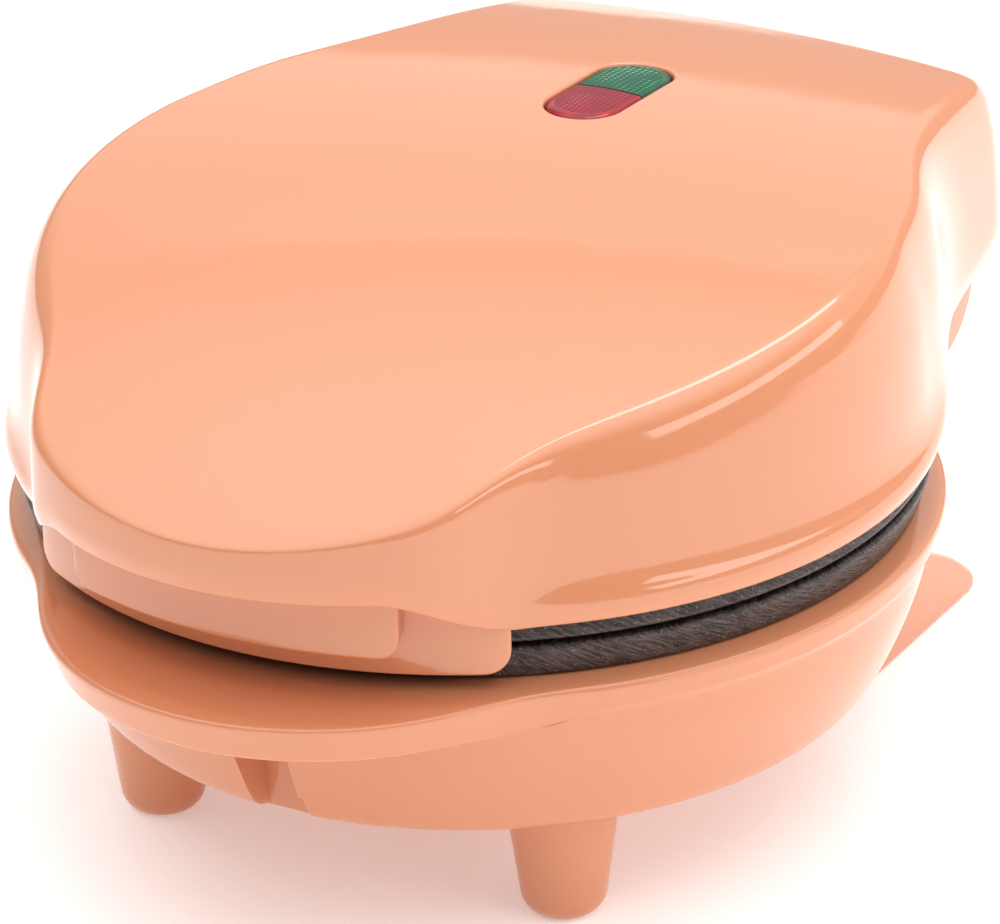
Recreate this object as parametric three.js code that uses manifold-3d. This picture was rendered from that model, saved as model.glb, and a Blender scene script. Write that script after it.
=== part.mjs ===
// Mini waffle maker: a round countertop cooker with a hinged lid.
// Millimetres, +Z up, +X to the right seen from the front, +Y towards the hinge.

import * as THREE from "three";
import { mergeVertices } from "three/addons/utils/BufferGeometryUtils.js";
import { LoftGeometry } from "three/addons/geometries/LoftGeometry.js";
import Module from "manifold-3d";

const wasm = await Module();
wasm.setup();

// General sizes
const wall = 2.2;
const fit = 0.3;
const overrun = 1;
const tiny = 0.001;

// Heights, stacked from the table up
const footHeight = 16.3;
const bowlDepth = 26.5;
const plateRimHeight = 5;
const partingGap = 0.7;
const upperRimShown = 2.7;
const lidHeight = 35.6;
const bowlBottom = footHeight;
const flangeTop = bowlBottom + bowlDepth;
const partingBottom = flangeTop + plateRimHeight;
const partingTop = partingBottom + partingGap;
const lipBottom = partingTop + upperRimShown;
const crownPeak = lipBottom + lidHeight;

// Round body
const plateRimRadius = 63;
const flangeMargin = 2.2;
const lipMargin = 2;
const lipShelf = 1.8;
const flangeRadius = plateRimRadius + flangeMargin;
const lipRadius = plateRimRadius + lipMargin;
const lidBodyRadius = lipRadius - lipShelf;

// Hinge
const hingeBehindPlates = 2.2;
const hingeAboveParting = 4.8;
const earRadius = 12.1;
const earThickness = 4.3;
const earClearance = 0.5;
const lugRadius = 6.5;
const lugThickness = 6;
const lugClearance = 0.4;
const pinRadius = 2;
const pinInEar = 3;
const pinPastLug = 0.6;
const hingeY = plateRimRadius + hingeBehindPlates;
const hingeZ = partingTop + hingeAboveParting;

// Lid seen from above: a round body, a lobe in front for the hand and a block behind for the hinge
const lobeReach = 75.5;
const lobeRadius = 46;
const lobeHalfWidth = 28;
const lobeTaperShare = 0.366;
const lobeCornerBlend = 6;
const lobeWaistBlend = 10;
const hindWaistBlend = 20;
const hindBehindHinge = 23.8;
const hindHalfWidth = 39.6;
const hindTaperShare = 0.2;
const hindArcRadius = 172;
const hindCornerBlend = 6.8;
const bodyDraft = 3.8;
const lobeDraft = 0.3;
const hindSideDraft = 2.8;
const hindBackDraft = 0.4;
const hindReach = hingeY + hindBehindHinge;

// Lid seen from the side
const crownPeakBack = 25;
const crownLengthRadius = 255;
const crownCrossRadius = 585;
const crownBendFront = 35;
const crownBendRadius = 500;
const topEdgeRounding = 6.5;
const frontEdgeRounding = 4;
const hindEdgeRounding = 6;
const shoulderHeightShare = 0.6;
const shoulderDraftShare = 0.25;
const shoulderRounding = 6;
const footRise = 5.8;
const crestRise = 2.6;
const footRounding = 3;
const crestRounding = 1.4;
const lowEdgeInset = 0.9;
const lowEdgeRounding = 0.5;
const handleLift = 6.9;
const hindLift = 2.8;
const lipBlend = 3;
const handleFullAngle = 19;
const handleEndAngle = 35;
const hindStartAngle = 60;
const hindWaistFullAngle = 55;
const hindWaistEndAngle = 85;
const hindFullAngle = 36;
const softFullAngle = 30;
const softEndAngle = 70;
const throatEndAngle = 40;

// Skirt and grip block in front of the plates, below the lid's lobe
const skirtAngle = 33.8;
const skirtDrop = 6.2;
const skirtClearance = 0.4;
const skirtCorner = 3.6;
const gripAngle = 21.4;
const gripProud = 3.2;
const gripDrop = 2.6;
const gripCorner = 3;

// Base seen from above
const tabProud = 3.5;
const tabRadius = 38.8;
const tabBlend = 9;
const tabReach = lobeReach + tabProud;

// Base seen from the side
const flangeEdgeDrop = 0.8;
const flangeEdgeRounding = 1;
const flangeBand = 4.2;
const tabBand = 6.6;
const flangeBandInset = 0.7;
const tabBandInset = 2.2;
const tabFullAngle = 46;
const tabEndAngle = 66;
const bowlUnderFlange = 1.7;
const bowlTaper = 9.4;
const bowlShoulderShare = 0.48;
const bowlShoulderInset = 2;
const bowlHeelShare = 0.07;
const bowlHeelInset = 6.7;
const bowlEdgeRounding = 1.5;
const seatWidth = 5.4;
const seatDepth = 5;

// Feet and the hinge block of the base
const footSide = 31.9;
const footFront = 34.1;
const footBottomRadius = 5.6;
const footTopRadius = 8.3;
const footEdge = 1.1;
const footInBowl = 4;
const blockHalfWidth = 39.6;
const blockBeforeHinge = 3.2;
const blockTopDrop = 0.8;
const blockFront = 40;
const tailBehindHinge = 12.6;
const tailRise = 12.9;
const tailBendShare = 0.7;
const tailBendHeight = 8.7;
const tailTip = 2.6;
const notchSide = 1.3;
const notchHalfWidth = 3.9;
const notchDepth = 0.9;
const notchDraft = 1.2;

// Waffle plates
const rimWidth = 13.2;
const rimThickness = 3;
const rimDraft = 1.4;
const rimChamfer = 0.5;
const skirtThickness = 1.6;
const cavityDepth = 6.8;
const cavityDraft = 2.3;
const floorThickness = 3;
const pegPitch = 15;
const pegWidth = 10.4;
const pegTopWidth = 8.2;
const pegHeight = 4.7;
const pegCount = 6;
const pegFieldMargin = 1.6;
const postRadius = 4;
const postLength = 7.6;

// Screws
const screwRadius = 1.5;
const screwHeadRadius = 2.9;
const screwHeadHeight = 1.6;
const screwLength = 9;
const bossRadius = 3.6;
const screwRingInset = 7;
const plateScrewAngles = [45, 135, 225, 315];

// Heaters, reflectors, thermostat and fuse
const heaterMargin = 9;
const heaterTube = 3.2;
const heaterGapAngle = 36;
const heaterLeg = 9;
const heaterBend = 3.4;
const reflectorClearance = 3.4;
const reflectorThickness = 0.8;
const legHoleRadius = 4.4;
const thermostatRadius = 8;
const thermostatHeight = 6.2;
const thermostatForward = 15;
const thermostatEar = 11.8;
const thermostatEarWidth = 6;
const thermostatEarThickness = 0.8;
const bladeWidth = 4.8;
const bladeThickness = 0.8;
const bladeLength = 7;
const bladeSpread = 3.6;
const smallScrewLength = 3.4;
const smallScrewRadius = 1.1;
const smallHeadRadius = 2.2;
const smallHeadHeight = 1.4;
const fuseRadius = 2.4;
const fuseLength = 20;
const fuseSide = 14.4;
const fuseForward = 4;
const clipWidth = 6;
const clipThickness = 0.7;
const clipTongue = 7;

// Terminal block, cord gland and wire sleeves
const terminalLength = 24;
const terminalWidth = 12;
const terminalClearance = 1.7;
const terminalBack = 27;
const terminalHole = 1.8;
const terminalPitch = 7.4;
const ribThickness = 1.6;
const ribHeight = 5;
const glandHeight = 20.4;
const glandNeck = 4.8;
const glandCollar = 6.6;
const glandCollarDepth = 1.8;
const glandBore = 3.4;
const sleeveRadius = 1.5;
const sleeveSide = 14;
const sleeveEndGap = 3.5;
const sleeveExitDrop = 8;
const sleeveBend = 3;
const sleeveHole = 2.3;

// Cover under the lid's hinge block
const coverHalfWidth = 25.4;
const coverThickness = 1.8;
const coverLift = 0.6;
const coverBeforeHinge = 1.6;
const coverScrewSide = 20;
const coverScrewBack = 10.2;
const coverSleeveBack = 4.4;

// Indicator lenses and lamps
const indicatorBack = 39.5;
const lensHalfWidth = 5.7;
const lensHalfLength = 12.8;
const lensSink = 0.6;
const lensFlange = 1.4;
const lensSeat = 0.9;
const lensFlangeThickness = 1.2;
const lampBoxHeight = 8;
const lampBoxWall = 1.4;
const lampBoxMargin = 2;
const lampBoxEar = 3.4;
const lampBoxEarThickness = 1.6;
const lampRadius = 2.6;
const lampLength = 5.4;
const lampTip = 1.2;

// Counts of steps round the outlines, profiles and turned pieces
const outlineSteps = 42;
const fineSteps = 720;
const turnedSteps = 60;
const smallSteps = 12;
const tubeSides = 8;
const skirtSteps = 16;

// Colours and finishes
const apricotPlastic = new THREE.MeshStandardMaterial({ color: 0xf3a47e, roughness: 0.16, metalness: 0 });
const coatedPlate = new THREE.MeshStandardMaterial({ color: 0x4b4445, roughness: 0.48, metalness: 0.35 });
const sheetSteel = new THREE.MeshStandardMaterial({ color: 0xc6c8c8, roughness: 0.3, metalness: 1 });
const heaterSteel = new THREE.MeshStandardMaterial({ color: 0x6d6a64, roughness: 0.5, metalness: 1 });
const zincSteel = new THREE.MeshStandardMaterial({ color: 0xa9acaf, roughness: 0.35, metalness: 1 });
const redClear = new THREE.MeshStandardMaterial({ color: 0xb02a34, roughness: 0.1, metalness: 0 });
const greenClear = new THREE.MeshStandardMaterial({ color: 0x1f8a5c, roughness: 0.1, metalness: 0 });
const ivoryPlastic = new THREE.MeshStandardMaterial({ color: 0xe6dfcf, roughness: 0.5, metalness: 0 });
const blackRubber = new THREE.MeshStandardMaterial({ color: 0x26262a, roughness: 0.7, metalness: 0 });
const glassSleeve = new THREE.MeshStandardMaterial({ color: 0xd8d2c2, roughness: 0.8, metalness: 0 });
const bakelite = new THREE.MeshStandardMaterial({ color: 0x3a2a22, roughness: 0.4, metalness: 0 });
const lampGlass = new THREE.MeshStandardMaterial({ color: 0xe9c9a8, roughness: 0.08, metalness: 0 });

const radians = THREE.MathUtils.degToRad;

// Closed solids from geometries, always with their faces outwards
function solid(geometry) {
  const source = new THREE.BufferGeometry().copy(geometry);
  source.deleteAttribute("normal");
  source.deleteAttribute("uv");
  const merged = mergeVertices(source, tiny);
  const corners = merged.getIndex().array;
  const places = merged.getAttribute("position").array;
  const kept = [];
  let volume = 0;
  const [a, b, c] = [new THREE.Vector3(), new THREE.Vector3(), new THREE.Vector3()];
  for (let i = 0; i < corners.length; i += 3) {
    const [p, q, r] = [corners[i], corners[i + 1], corners[i + 2]];
    if (p !== q && q !== r && r !== p) {
      kept.push(p, q, r);
      a.fromArray(places, 3 * p);
      b.fromArray(places, 3 * q);
      c.fromArray(places, 3 * r);
      volume += a.dot(b.cross(c));
    }
  }
  const triVerts = new Uint32Array(volume < 0 ? kept.reverse() : kept);
  const vertProperties = new Float32Array(places);
  return new wasm.Manifold(new wasm.Mesh({ numProp: 3, vertProperties, triVerts }));
}

function geometryOf(body) {
  const mesh = body.getMesh();
  const geometry = new THREE.BufferGeometry();
  geometry.setAttribute("position", new THREE.BufferAttribute(new Float32Array(mesh.vertProperties), 3));
  geometry.setIndex(new THREE.BufferAttribute(new Uint32Array(mesh.triVerts), 1));
  const flat = geometry.toNonIndexed();
  flat.computeVertexNormals();
  return flat;
}

function joined(...bodies) {
  return bodies.reduce((whole, body) => whole.add(body));
}

// Boxes, turned pieces and slabs in the part's own axes
function box(low, high) {
  const size = high.map((value, k) => value - low[k]);
  const middle = high.map((value, k) => (value + low[k]) / 2);
  return solid(new THREE.BoxGeometry(...size).translate(...middle));
}

function turned(profile, steps = turnedSteps, place = [0, 0, 0]) {
  const points = profile.map(([radius, height]) => new THREE.Vector2(radius, height));
  const geometry = new THREE.LatheGeometry(points, steps).rotateX(Math.PI / 2);
  return solid(geometry.translate(...place));
}

function rod(radius, low, high, steps, place) {
  return turned([[0, low], [radius, low], [radius, high], [0, high]], steps, place);
}

function slabAlongX(shape, fromX, toX, curveSteps) {
  const options = { depth: toX - fromX, bevelEnabled: false, curveSegments: curveSteps };
  const geometry = new THREE.ExtrudeGeometry(shape, options);
  const axes = [new THREE.Vector3(0, 1, 0), new THREE.Vector3(0, 0, 1), new THREE.Vector3(1, 0, 0)];
  const turn = new THREE.Matrix4().makeBasis(...axes);
  return solid(geometry.applyMatrix4(turn).translate(fromX, 0, 0));
}

function discShape(y, z, radius) {
  return new THREE.Shape().absarc(y, z, radius, 0, 2 * Math.PI, false);
}

function polygonShape(points) {
  return new THREE.Shape(points.map(([y, z]) => new THREE.Vector2(y, z)));
}

function tube(points, radius, steps) {
  const path = new THREE.CatmullRomCurve3(points.map((point) => new THREE.Vector3(...point)));
  const section = new THREE.Shape().absarc(0, 0, radius, 0, 2 * Math.PI, false);
  const options = { steps, extrudePath: path, bevelEnabled: false, curveSegments: tubeSides / 2 };
  return solid(new THREE.ExtrudeGeometry(section, options));
}

// The larger or smaller of two values, with a soft passage between them
function smoothMax(a, b, blend) {
  const share = blend > 0 ? Math.max(blend - Math.abs(a - b), 0) / blend : 0;
  return Math.max(a, b) + (blend * share ** 3) / 6;
}

function smoothMin(a, b, blend) {
  return -smoothMax(-a, -b, blend);
}

// How far a direction is from straight ahead or from straight back, in degrees
function fromFront(angle) {
  return THREE.MathUtils.radToDeg(Math.acos(THREE.MathUtils.clamp(-Math.sin(angle), -1, 1)));
}

function fromBack(angle) {
  return THREE.MathUtils.radToDeg(Math.acos(THREE.MathUtils.clamp(Math.sin(angle), -1, 1)));
}

// 1 up to the full angle, 0 past the end angle, and a soft step between
function fade(degrees, full, end) {
  return 1 - THREE.MathUtils.smoothstep(degrees, full, end);
}

// Distance from the body's axis to a round lobe in front of it
function lobeDistance(angle, reach, radius, inset) {
  const setback = reach - radius;
  const ahead = -Math.sin(angle);
  const across = (radius - inset) ** 2 - setback ** 2 * (1 - ahead ** 2);
  return setback * ahead + Math.sqrt(Math.max(across, 0));
}

// Distance to two straight sides that close in the way they face: ahead is 1 in that direction
function sideDistance(angle, ahead, halfWidth, taperShare, reach, inset) {
  const clear = halfWidth + taperShare * reach - inset * Math.hypot(1, taperShare);
  return clear / (Math.abs(Math.cos(angle)) + taperShare * ahead);
}

// Distance to the lobe for the hand: a round front between two straight flanks
function handDistance(angle, inset) {
  const ahead = -Math.sin(angle);
  if (ahead <= 0) return 0;
  const flank = sideDistance(angle, ahead, lobeHalfWidth, lobeTaperShare, lobeReach, inset);
  return smoothMin(lobeDistance(angle, lobeReach, lobeRadius, inset), flank, lobeCornerBlend);
}

// Distance to the block behind: two drafted sides and a slightly bowed back
function hindDistance(angle, inset, sideDraft, backDraft) {
  const back = Math.sin(angle);
  if (back <= 0) return 0;
  const side = sideDistance(angle, back, hindHalfWidth, hindTaperShare, hindReach, inset + sideDraft);
  const centre = hindReach - hindArcRadius;
  const arcRadius = hindArcRadius - inset - backDraft;
  const arc = centre * back + Math.sqrt(arcRadius ** 2 - (centre * Math.cos(angle)) ** 2);
  return smoothMin(side, arc, hindCornerBlend);
}

// The drafted share is 0 at the foot of the walls and 1 at their top
function lidOutline(inset, draftedShare) {
  return (angle) => {
    const front = handDistance(angle, inset + draftedShare * lobeDraft);
    const round = smoothMax(lidBodyRadius - inset - draftedShare * bodyDraft, front, lobeWaistBlend);
    const hind = hindDistance(angle, inset, draftedShare * hindSideDraft, draftedShare * hindBackDraft);
    const waist = hindWaistBlend * fade(fromBack(angle), hindWaistFullAngle, hindWaistEndAngle);
    return smoothMax(round, hind, waist);
  };
}

function baseOutline(inset) {
  return (angle) => {
    const front = lobeDistance(angle, tabReach, tabRadius, inset);
    return smoothMax(flangeRadius - inset, front, tabBlend);
  };
}

// Directions round an outline: closer together where it turns, and the same on both sides
function directions(outline) {
  const fine = Array.from({ length: fineSteps + 1 }, (_, i) => -Math.PI / 2 + (Math.PI * i) / fineSteps);
  const points = fine.map((angle) => new THREE.Vector2(Math.cos(angle), Math.sin(angle))
    .multiplyScalar(outline(angle)));
  const lengths = [0];
  const turns = [0];
  let heading = 0;
  for (let i = 1; i <= fineSteps; i++) {
    const step = points[i].clone().sub(points[i - 1]);
    const bend = step.angle() - heading;
    lengths.push(lengths[i - 1] + step.length());
    turns.push(turns[i - 1] + Math.abs(Math.atan2(Math.sin(bend), Math.cos(bend))));
    heading = step.angle();
  }
  const travel = fine.map((_, i) => lengths[i] / lengths[fineSteps] + turns[i] / turns[fineSteps]);
  const right = [];
  let next = 0;
  for (let step = 0; step <= outlineSteps; step++) {
    const goal = (travel[fineSteps] * step) / outlineSteps;
    while (next < fineSteps && travel[next] < goal) next++;
    right.push(fine[next]);
  }
  const left = right.slice(1, -1).reverse().map((angle) => Math.PI - angle);
  return [...right, ...left];
}

const lidDirections = directions(lidOutline(0, 0));
const baseDirections = directions(baseOutline(0));

function ring(angles, distance, height) {
  return angles.map((angle) => {
    const x = distance(angle) * Math.cos(angle);
    const y = distance(angle) * Math.sin(angle);
    return new THREE.Vector3(x, y, height(angle, x, y));
  });
}

// A corner becomes a short curve that starts and ends the rounding's length away from it,
// or half way to the next ring where that is nearer.
function towards(from, to, length) {
  const share = Math.min(length / Math.max(from.distanceTo(to), tiny), 1 / 2);
  return from.clone().lerp(to, share);
}

function sectionsOf(corners) {
  return corners.flatMap(({ points, rounding, steps }, k) => {
    if (!steps) return [points];
    const [before, after] = [corners[k - 1].points, corners[k + 1].points];
    return Array.from({ length: steps + 1 }, (_, j) => points.map((point, i) => {
      const t = j / steps;
      const start = towards(point, before[i], rounding(i));
      const end = towards(point, after[i], rounding(i));
      return start.multiplyScalar((1 - t) ** 2).addScaledVector(point, 2 * t * (1 - t))
        .addScaledVector(end, t ** 2);
    }));
  });
}

// A body skinned over rings that start and end on its axis
function lofted(corners) {
  return solid(new LoftGeometry(sectionsOf(corners)));
}

function onAxis() {
  return 0;
}

// Lid shell: its top bends down more from a line in front of the axis on
function crownHeight(x, y) {
  return crownPeak - (y - crownPeakBack) ** 2 / (2 * crownLengthRadius) - x ** 2 / (2 * crownCrossRadius)
    - Math.max(-y - crownBendFront, 0) ** 2 / (2 * crownBendRadius);
}

// A ring part of the way up a wall, for a shoulder that stands out from a straight slope
function wallShoulder(inset, drop) {
  const distance = lidOutline(inset, shoulderDraftShare);
  const corner = lidOutline(inset, 1);
  return ring(lidDirections, distance, (angle) => {
    const top = crownHeight(corner(angle) * Math.cos(angle), corner(angle) * Math.sin(angle)) - drop;
    return THREE.MathUtils.lerp(lidLowEdge(angle) + footRise, top, shoulderHeightShare);
  });
}

function lidLowEdge(angle) {
  return lipBottom + handleLift * fade(fromFront(angle), handleFullAngle, handleEndAngle)
    + hindLift * fade(fromBack(angle), hindFullAngle, hindStartAngle);
}

const topInnerShare = 0.34;
const topMiddleShare = 0.68;

function lidOuter() {
  const foot = lidOutline(0, 0);
  const corner = lidOutline(0, 1);
  const lip = (angle) => smoothMax(lipRadius, foot(angle), lipBlend);
  const crown = (angle, x, y) => crownHeight(x, y);
  const low = lidLowEdge;
  const rings = (distance, height) => ring(lidDirections, distance, height);
  const edge = (i) => topEdgeRounding
    + (frontEdgeRounding - topEdgeRounding) * fade(fromFront(lidDirections[i]), softFullAngle, softEndAngle)
    + (hindEdgeRounding - topEdgeRounding) * fade(fromBack(lidDirections[i]), hindFullAngle, hindStartAngle);
  return lofted([
    { points: rings(onAxis, crown) },
    { points: rings((a) => topInnerShare * corner(a), crown) },
    { points: rings((a) => topMiddleShare * corner(a), crown) },
    { points: rings(corner, crown), rounding: edge, steps: 3 },
    { points: wallShoulder(0, 0), rounding: () => shoulderRounding, steps: 2 },
    { points: rings(foot, (a) => low(a) + footRise), rounding: () => footRounding, steps: 2 },
    { points: rings(lip, (a) => low(a) + crestRise), rounding: () => crestRounding, steps: 2 },
    { points: rings((a) => lip(a) - lowEdgeInset, low), rounding: () => lowEdgeRounding, steps: 1 },
    { points: rings(() => plateRimRadius - seatWidth, low) },
    { points: rings(onAxis, () => lipBottom) },
  ]);
}

function lidHollow() {
  const foot = lidOutline(wall, 0);
  const corner = lidOutline(wall, 1);
  const ceiling = (angle, x, y) => crownHeight(x, y) - wall;
  const throat = (angle) => {
    const front = fade(fromFront(angle), handleEndAngle, throatEndAngle);
    const narrow = plateRimRadius - rimDraft - fit;
    return THREE.MathUtils.lerp(foot(angle), Math.min(narrow, foot(angle)), front);
  };
  const low = (angle) => lidLowEdge(angle) + wall;
  const rings = (distance, height) => ring(lidDirections, distance, height);
  return lofted([
    { points: rings(onAxis, ceiling) },
    { points: rings((a) => topInnerShare * corner(a), ceiling) },
    { points: rings((a) => topMiddleShare * corner(a), ceiling) },
    { points: rings(corner, ceiling), rounding: () => wall, steps: 2 },
    { points: wallShoulder(wall, wall) },
    { points: rings(foot, low) },
    { points: rings((a) => throat(a) - tiny, (a) => low(a) - tiny) },
    { points: rings((a) => throat(a) - tiny, () => lipBottom - overrun) },
    { points: rings(onAxis, () => lipBottom - overrun) },
  ]);
}

function plateSeat() {
  const [low, high] = [lipBottom - overrun, partingTop + plateRimHeight + fit];
  return turned([[0, low], [plateRimRadius + fit, low], [plateRimRadius - rimDraft + fit, high], [0, high]]);
}

// A strip of wall bent round the body's axis; its lower edge rises at both ends
function bentStrip(innerRadius, outerRadius, halfAngle, bottom, top, endCorner) {
  const sections = Array.from({ length: skirtSteps + 1 }, (_, k) => {
    const share = -Math.cos((Math.PI * k) / skirtSteps);
    const angle = -Math.PI / 2 + radians(halfAngle) * share;
    const fromEnd = outerRadius * radians(halfAngle) * (1 - Math.abs(share));
    const rise = endCorner - Math.sqrt(Math.max(endCorner ** 2 - Math.max(endCorner - fromEnd, 0) ** 2, 0));
    const corners = [[innerRadius, bottom + rise], [innerRadius, top], [outerRadius, top],
      [outerRadius, bottom + rise]];
    return corners.map(([r, z]) => new THREE.Vector3(r * Math.cos(angle), r * Math.sin(angle), z));
  });
  return solid(new LoftGeometry(sections, { capStart: true, capEnd: true }));
}

const earOuter = hindHalfWidth + hindTaperShare * (hindBehindHinge - earRadius) - wall - earClearance;
const earInner = earOuter - earThickness;
const lugOuter = earInner - lugClearance;
const lugInner = lugOuter - lugThickness;

function onBothSides(make) {
  return [-1, 1].map((side) => make(side));
}

function sideSlab(shape, inner, outer, side, steps) {
  return side > 0 ? slabAlongX(shape, inner, outer, steps) : slabAlongX(shape, -outer, -inner, steps);
}

const screwRing = plateRimRadius - screwRingInset;
const reflectorRadius = screwRing - bossRadius - reflectorClearance;
const heaterRadius = reflectorRadius - heaterMargin;
const screwPlaces = plateScrewAngles.map((degrees) => [
  screwRing * Math.cos(radians(degrees)), screwRing * Math.sin(radians(degrees))]);
const coverY = hingeY - coverBeforeHinge;
const coverBottom = hingeZ + coverLift + hindLift / 2;
const coverBack = hindReach - hindSideDraft - 2 * wall;
const coverScrews = onBothSides((side) => [side * coverScrewSide, hingeY + coverScrewBack]);

const indicatorTilt = -Math.atan((indicatorBack - crownPeakBack) / crownLengthRadius);
const indicatorZ = crownHeight(0, indicatorBack);
const lampEarPlace = lensHalfLength + lensFlange + lampBoxMargin + lampBoxEar / 2;
const lampBoxTop = -wall - lensSeat - lensFlangeThickness - fit;

function onIndicator(body) {
  const turn = new THREE.Matrix4().makeRotationX(indicatorTilt).setPosition(0, indicatorBack, indicatorZ);
  return body.transform(turn.toArray());
}

function obround(halfWidth, halfLength, low, high) {
  const straight = halfLength - halfWidth;
  const shape = new THREE.Shape();
  shape.absarc(0, straight, halfWidth, 0, Math.PI, false);
  shape.absarc(0, -straight, halfWidth, Math.PI, 2 * Math.PI, false);
  const options = { depth: high - low, bevelEnabled: false, curveSegments: smallSteps };
  return solid(new THREE.ExtrudeGeometry(shape, options).translate(0, 0, low));
}

function lidShell() {
  const lugTop = hingeZ + hindLift + footRise;
  const lugs = onBothSides((side) => joined(
    sideSlab(discShape(hingeY, hingeZ, lugRadius), lugInner, lugOuter, side, smallSteps),
    sideSlab(polygonShape([[hingeY - lugRadius, hingeZ], [hingeY + lugRadius, hingeZ],
      [hingeY + lugRadius, crownPeak], [hingeY - lugRadius, crownPeak]]), lugInner, lugOuter, side, 1)));
  const lugEnds = lugs.map((lug) => lug.intersect(
    box([-hindReach, 0, 0], [hindReach, hindReach, lugTop])));
  const plateBosses = screwPlaces.map(([x, y]) => rod(
    bossRadius, partingTop + rimThickness + fit, crownPeak, smallSteps, [x, y, 0]));
  const coverBosses = coverScrews.map(([x, y]) => rod(
    bossRadius, coverBottom + coverThickness + fit, crownPeak, smallSteps, [x, y, 0]));
  const lampBosses = onBothSides((side) => onIndicator(rod(
    screwHeadRadius, lampBoxTop + fit, 0, smallSteps, [0, side * lampEarPlace, 0])));
  const plateHoles = screwPlaces.map(([x, y]) => rod(
    screwRadius + fit, partingTop, partingTop + screwLength + fit, smallSteps, [x, y, 0]));
  const coverHoles = coverScrews.map(([x, y]) => rod(
    screwRadius + fit, coverBottom, coverBottom + screwLength + fit, smallSteps, [x, y, 0]));
  const lampHoles = onBothSides((side) => onIndicator(rod(
    smallScrewRadius + fit, -lampBoxHeight, -wall / 2, smallSteps, [0, side * lampEarPlace, 0])));
  const pinHole = rod(pinRadius + fit, -hindReach, hindReach, smallSteps)
    .rotate([0, 90, 0]).translate([0, hingeY, hingeZ]);
  const skirtInner = plateRimRadius + skirtClearance;
  const skirt = bentStrip(skirtInner, lipRadius, skirtAngle, lipBottom - skirtDrop,
    lipBottom + handleLift + wall / 2, skirtCorner);
  const grip = bentStrip(lipRadius - wall / 2, lipRadius + gripProud, gripAngle, lipBottom - gripDrop,
    lipBottom + handleLift + wall / 2, gripCorner);
  const hollow = [...lugs, ...plateBosses, ...coverBosses, ...lampBosses]
    .reduce((body, kept) => body.subtract(kept), lidHollow());
  const window = onIndicator(obround(lensHalfWidth, lensHalfLength, -lampBoxHeight, overrun));
  const shell = lidOuter().subtract(hollow).subtract(plateSeat());
  return [window, pinHole, ...plateHoles, ...coverHoles, ...lampHoles]
    .reduce((body, hole) => body.subtract(hole), joined(shell, ...lugEnds, skirt, grip));
}

// Base shell
const bowlTopRadius = flangeRadius - bowlUnderFlange;
const bowlBottomRadius = bowlTopRadius - bowlTaper;
const blockBack = hingeY - blockBeforeHinge;
const blockTop = flangeTop - blockTopDrop;

function bandBottom(angle) {
  const band = THREE.MathUtils.lerp(flangeBand, tabBand, fade(fromFront(angle), tabFullAngle, tabEndAngle));
  return flangeTop - band;
}

function bandOutline(inset) {
  const outline = baseOutline(inset);
  return (angle) => outline(angle) - THREE.MathUtils.lerp(
    flangeBandInset, tabBandInset, fade(fromFront(angle), tabFullAngle, tabEndAngle));
}

function baseOuter() {
  const rings = (distance, height) => ring(baseDirections, distance, height);
  const shoulder = bowlBottom + bowlShoulderShare * bowlDepth;
  const heel = bowlBottom + bowlHeelShare * bowlDepth;
  return lofted([
    { points: rings(onAxis, () => flangeTop) },
    { points: rings(() => plateRimRadius - rimDraft, () => flangeTop) },
    { points: rings(baseOutline(0), () => flangeTop - flangeEdgeDrop),
      rounding: () => flangeEdgeRounding, steps: 2 },
    { points: rings(bandOutline(0), bandBottom), rounding: () => lowEdgeRounding, steps: 1 },
    { points: rings(() => bowlTopRadius, (a) => bandBottom(a) - tiny), rounding: () => fit, steps: 1 },
    { points: rings(() => bowlTopRadius - bowlShoulderInset, () => shoulder),
      rounding: () => bowlDepth, steps: 3 },
    { points: rings(() => bowlTopRadius - bowlHeelInset, () => heel), rounding: () => bowlDepth, steps: 4 },
    { points: rings(() => bowlBottomRadius, () => bowlBottom), rounding: () => bowlEdgeRounding, steps: 1 },
    { points: rings(onAxis, () => bowlBottom) },
  ]);
}

function bowlHollow() {
  const floor = bowlBottom + wall;
  const shoulder = bowlBottom + bowlShoulderShare * bowlDepth;
  return turned([
    [0, floor], [bowlBottomRadius - wall, floor], [bowlBottomRadius, floor + wall / 2],
    [bowlTopRadius - bowlShoulderInset - wall, shoulder],
    [flangeRadius - seatWidth, flangeTop - seatDepth],
    [flangeRadius - seatWidth, flangeTop + overrun], [0, flangeTop + overrun]]);
}

function frontFoot(side, inset) {
  const top = bowlBottom + footInBowl;
  const profile = [[0, inset], [footBottomRadius - footEdge - inset / 2, inset],
    [footBottomRadius - inset, footEdge + inset], [footTopRadius - inset, top], [0, top]];
  return turned(profile, smallSteps * 2, [side * footSide, -footFront, 0]);
}

// Side view of the block that carries the hinge, with the long rear foot at its bottom
function blockShape(inset) {
  const tailReach = hingeY + tailBehindHinge - inset;
  const back = blockBack - inset;
  const shape = new THREE.Shape();
  const bendY = THREE.MathUtils.lerp(back, tailReach, tailBendShare);
  shape.moveTo(blockFront + inset, inset);
  shape.lineTo(tailReach - tailTip / 2 - inset, inset);
  shape.quadraticCurveTo(tailReach + footEdge / 2, inset, tailReach - footEdge / 2, tailTip + inset / 2);
  shape.quadraticCurveTo(bendY, tailBendHeight - inset / 2, back, tailRise - inset / 2);
  shape.lineTo(back, blockTop - inset);
  shape.lineTo(blockFront + inset, blockTop - inset);
  return shape;
}

function frontNotch(margin) {
  const bottomY = -(bowlBottomRadius - notchDepth) + margin;
  const shape = polygonShape([[bottomY, bowlBottom - overrun], [bottomY - notchDraft, flangeTop - tabBand],
    [-tabReach, flangeTop - tabBand], [-tabReach, bowlBottom - overrun]]);
  const reach = notchHalfWidth + margin;
  return slabAlongX(shape, notchSide - reach, notchSide + reach, 1);
}

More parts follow.
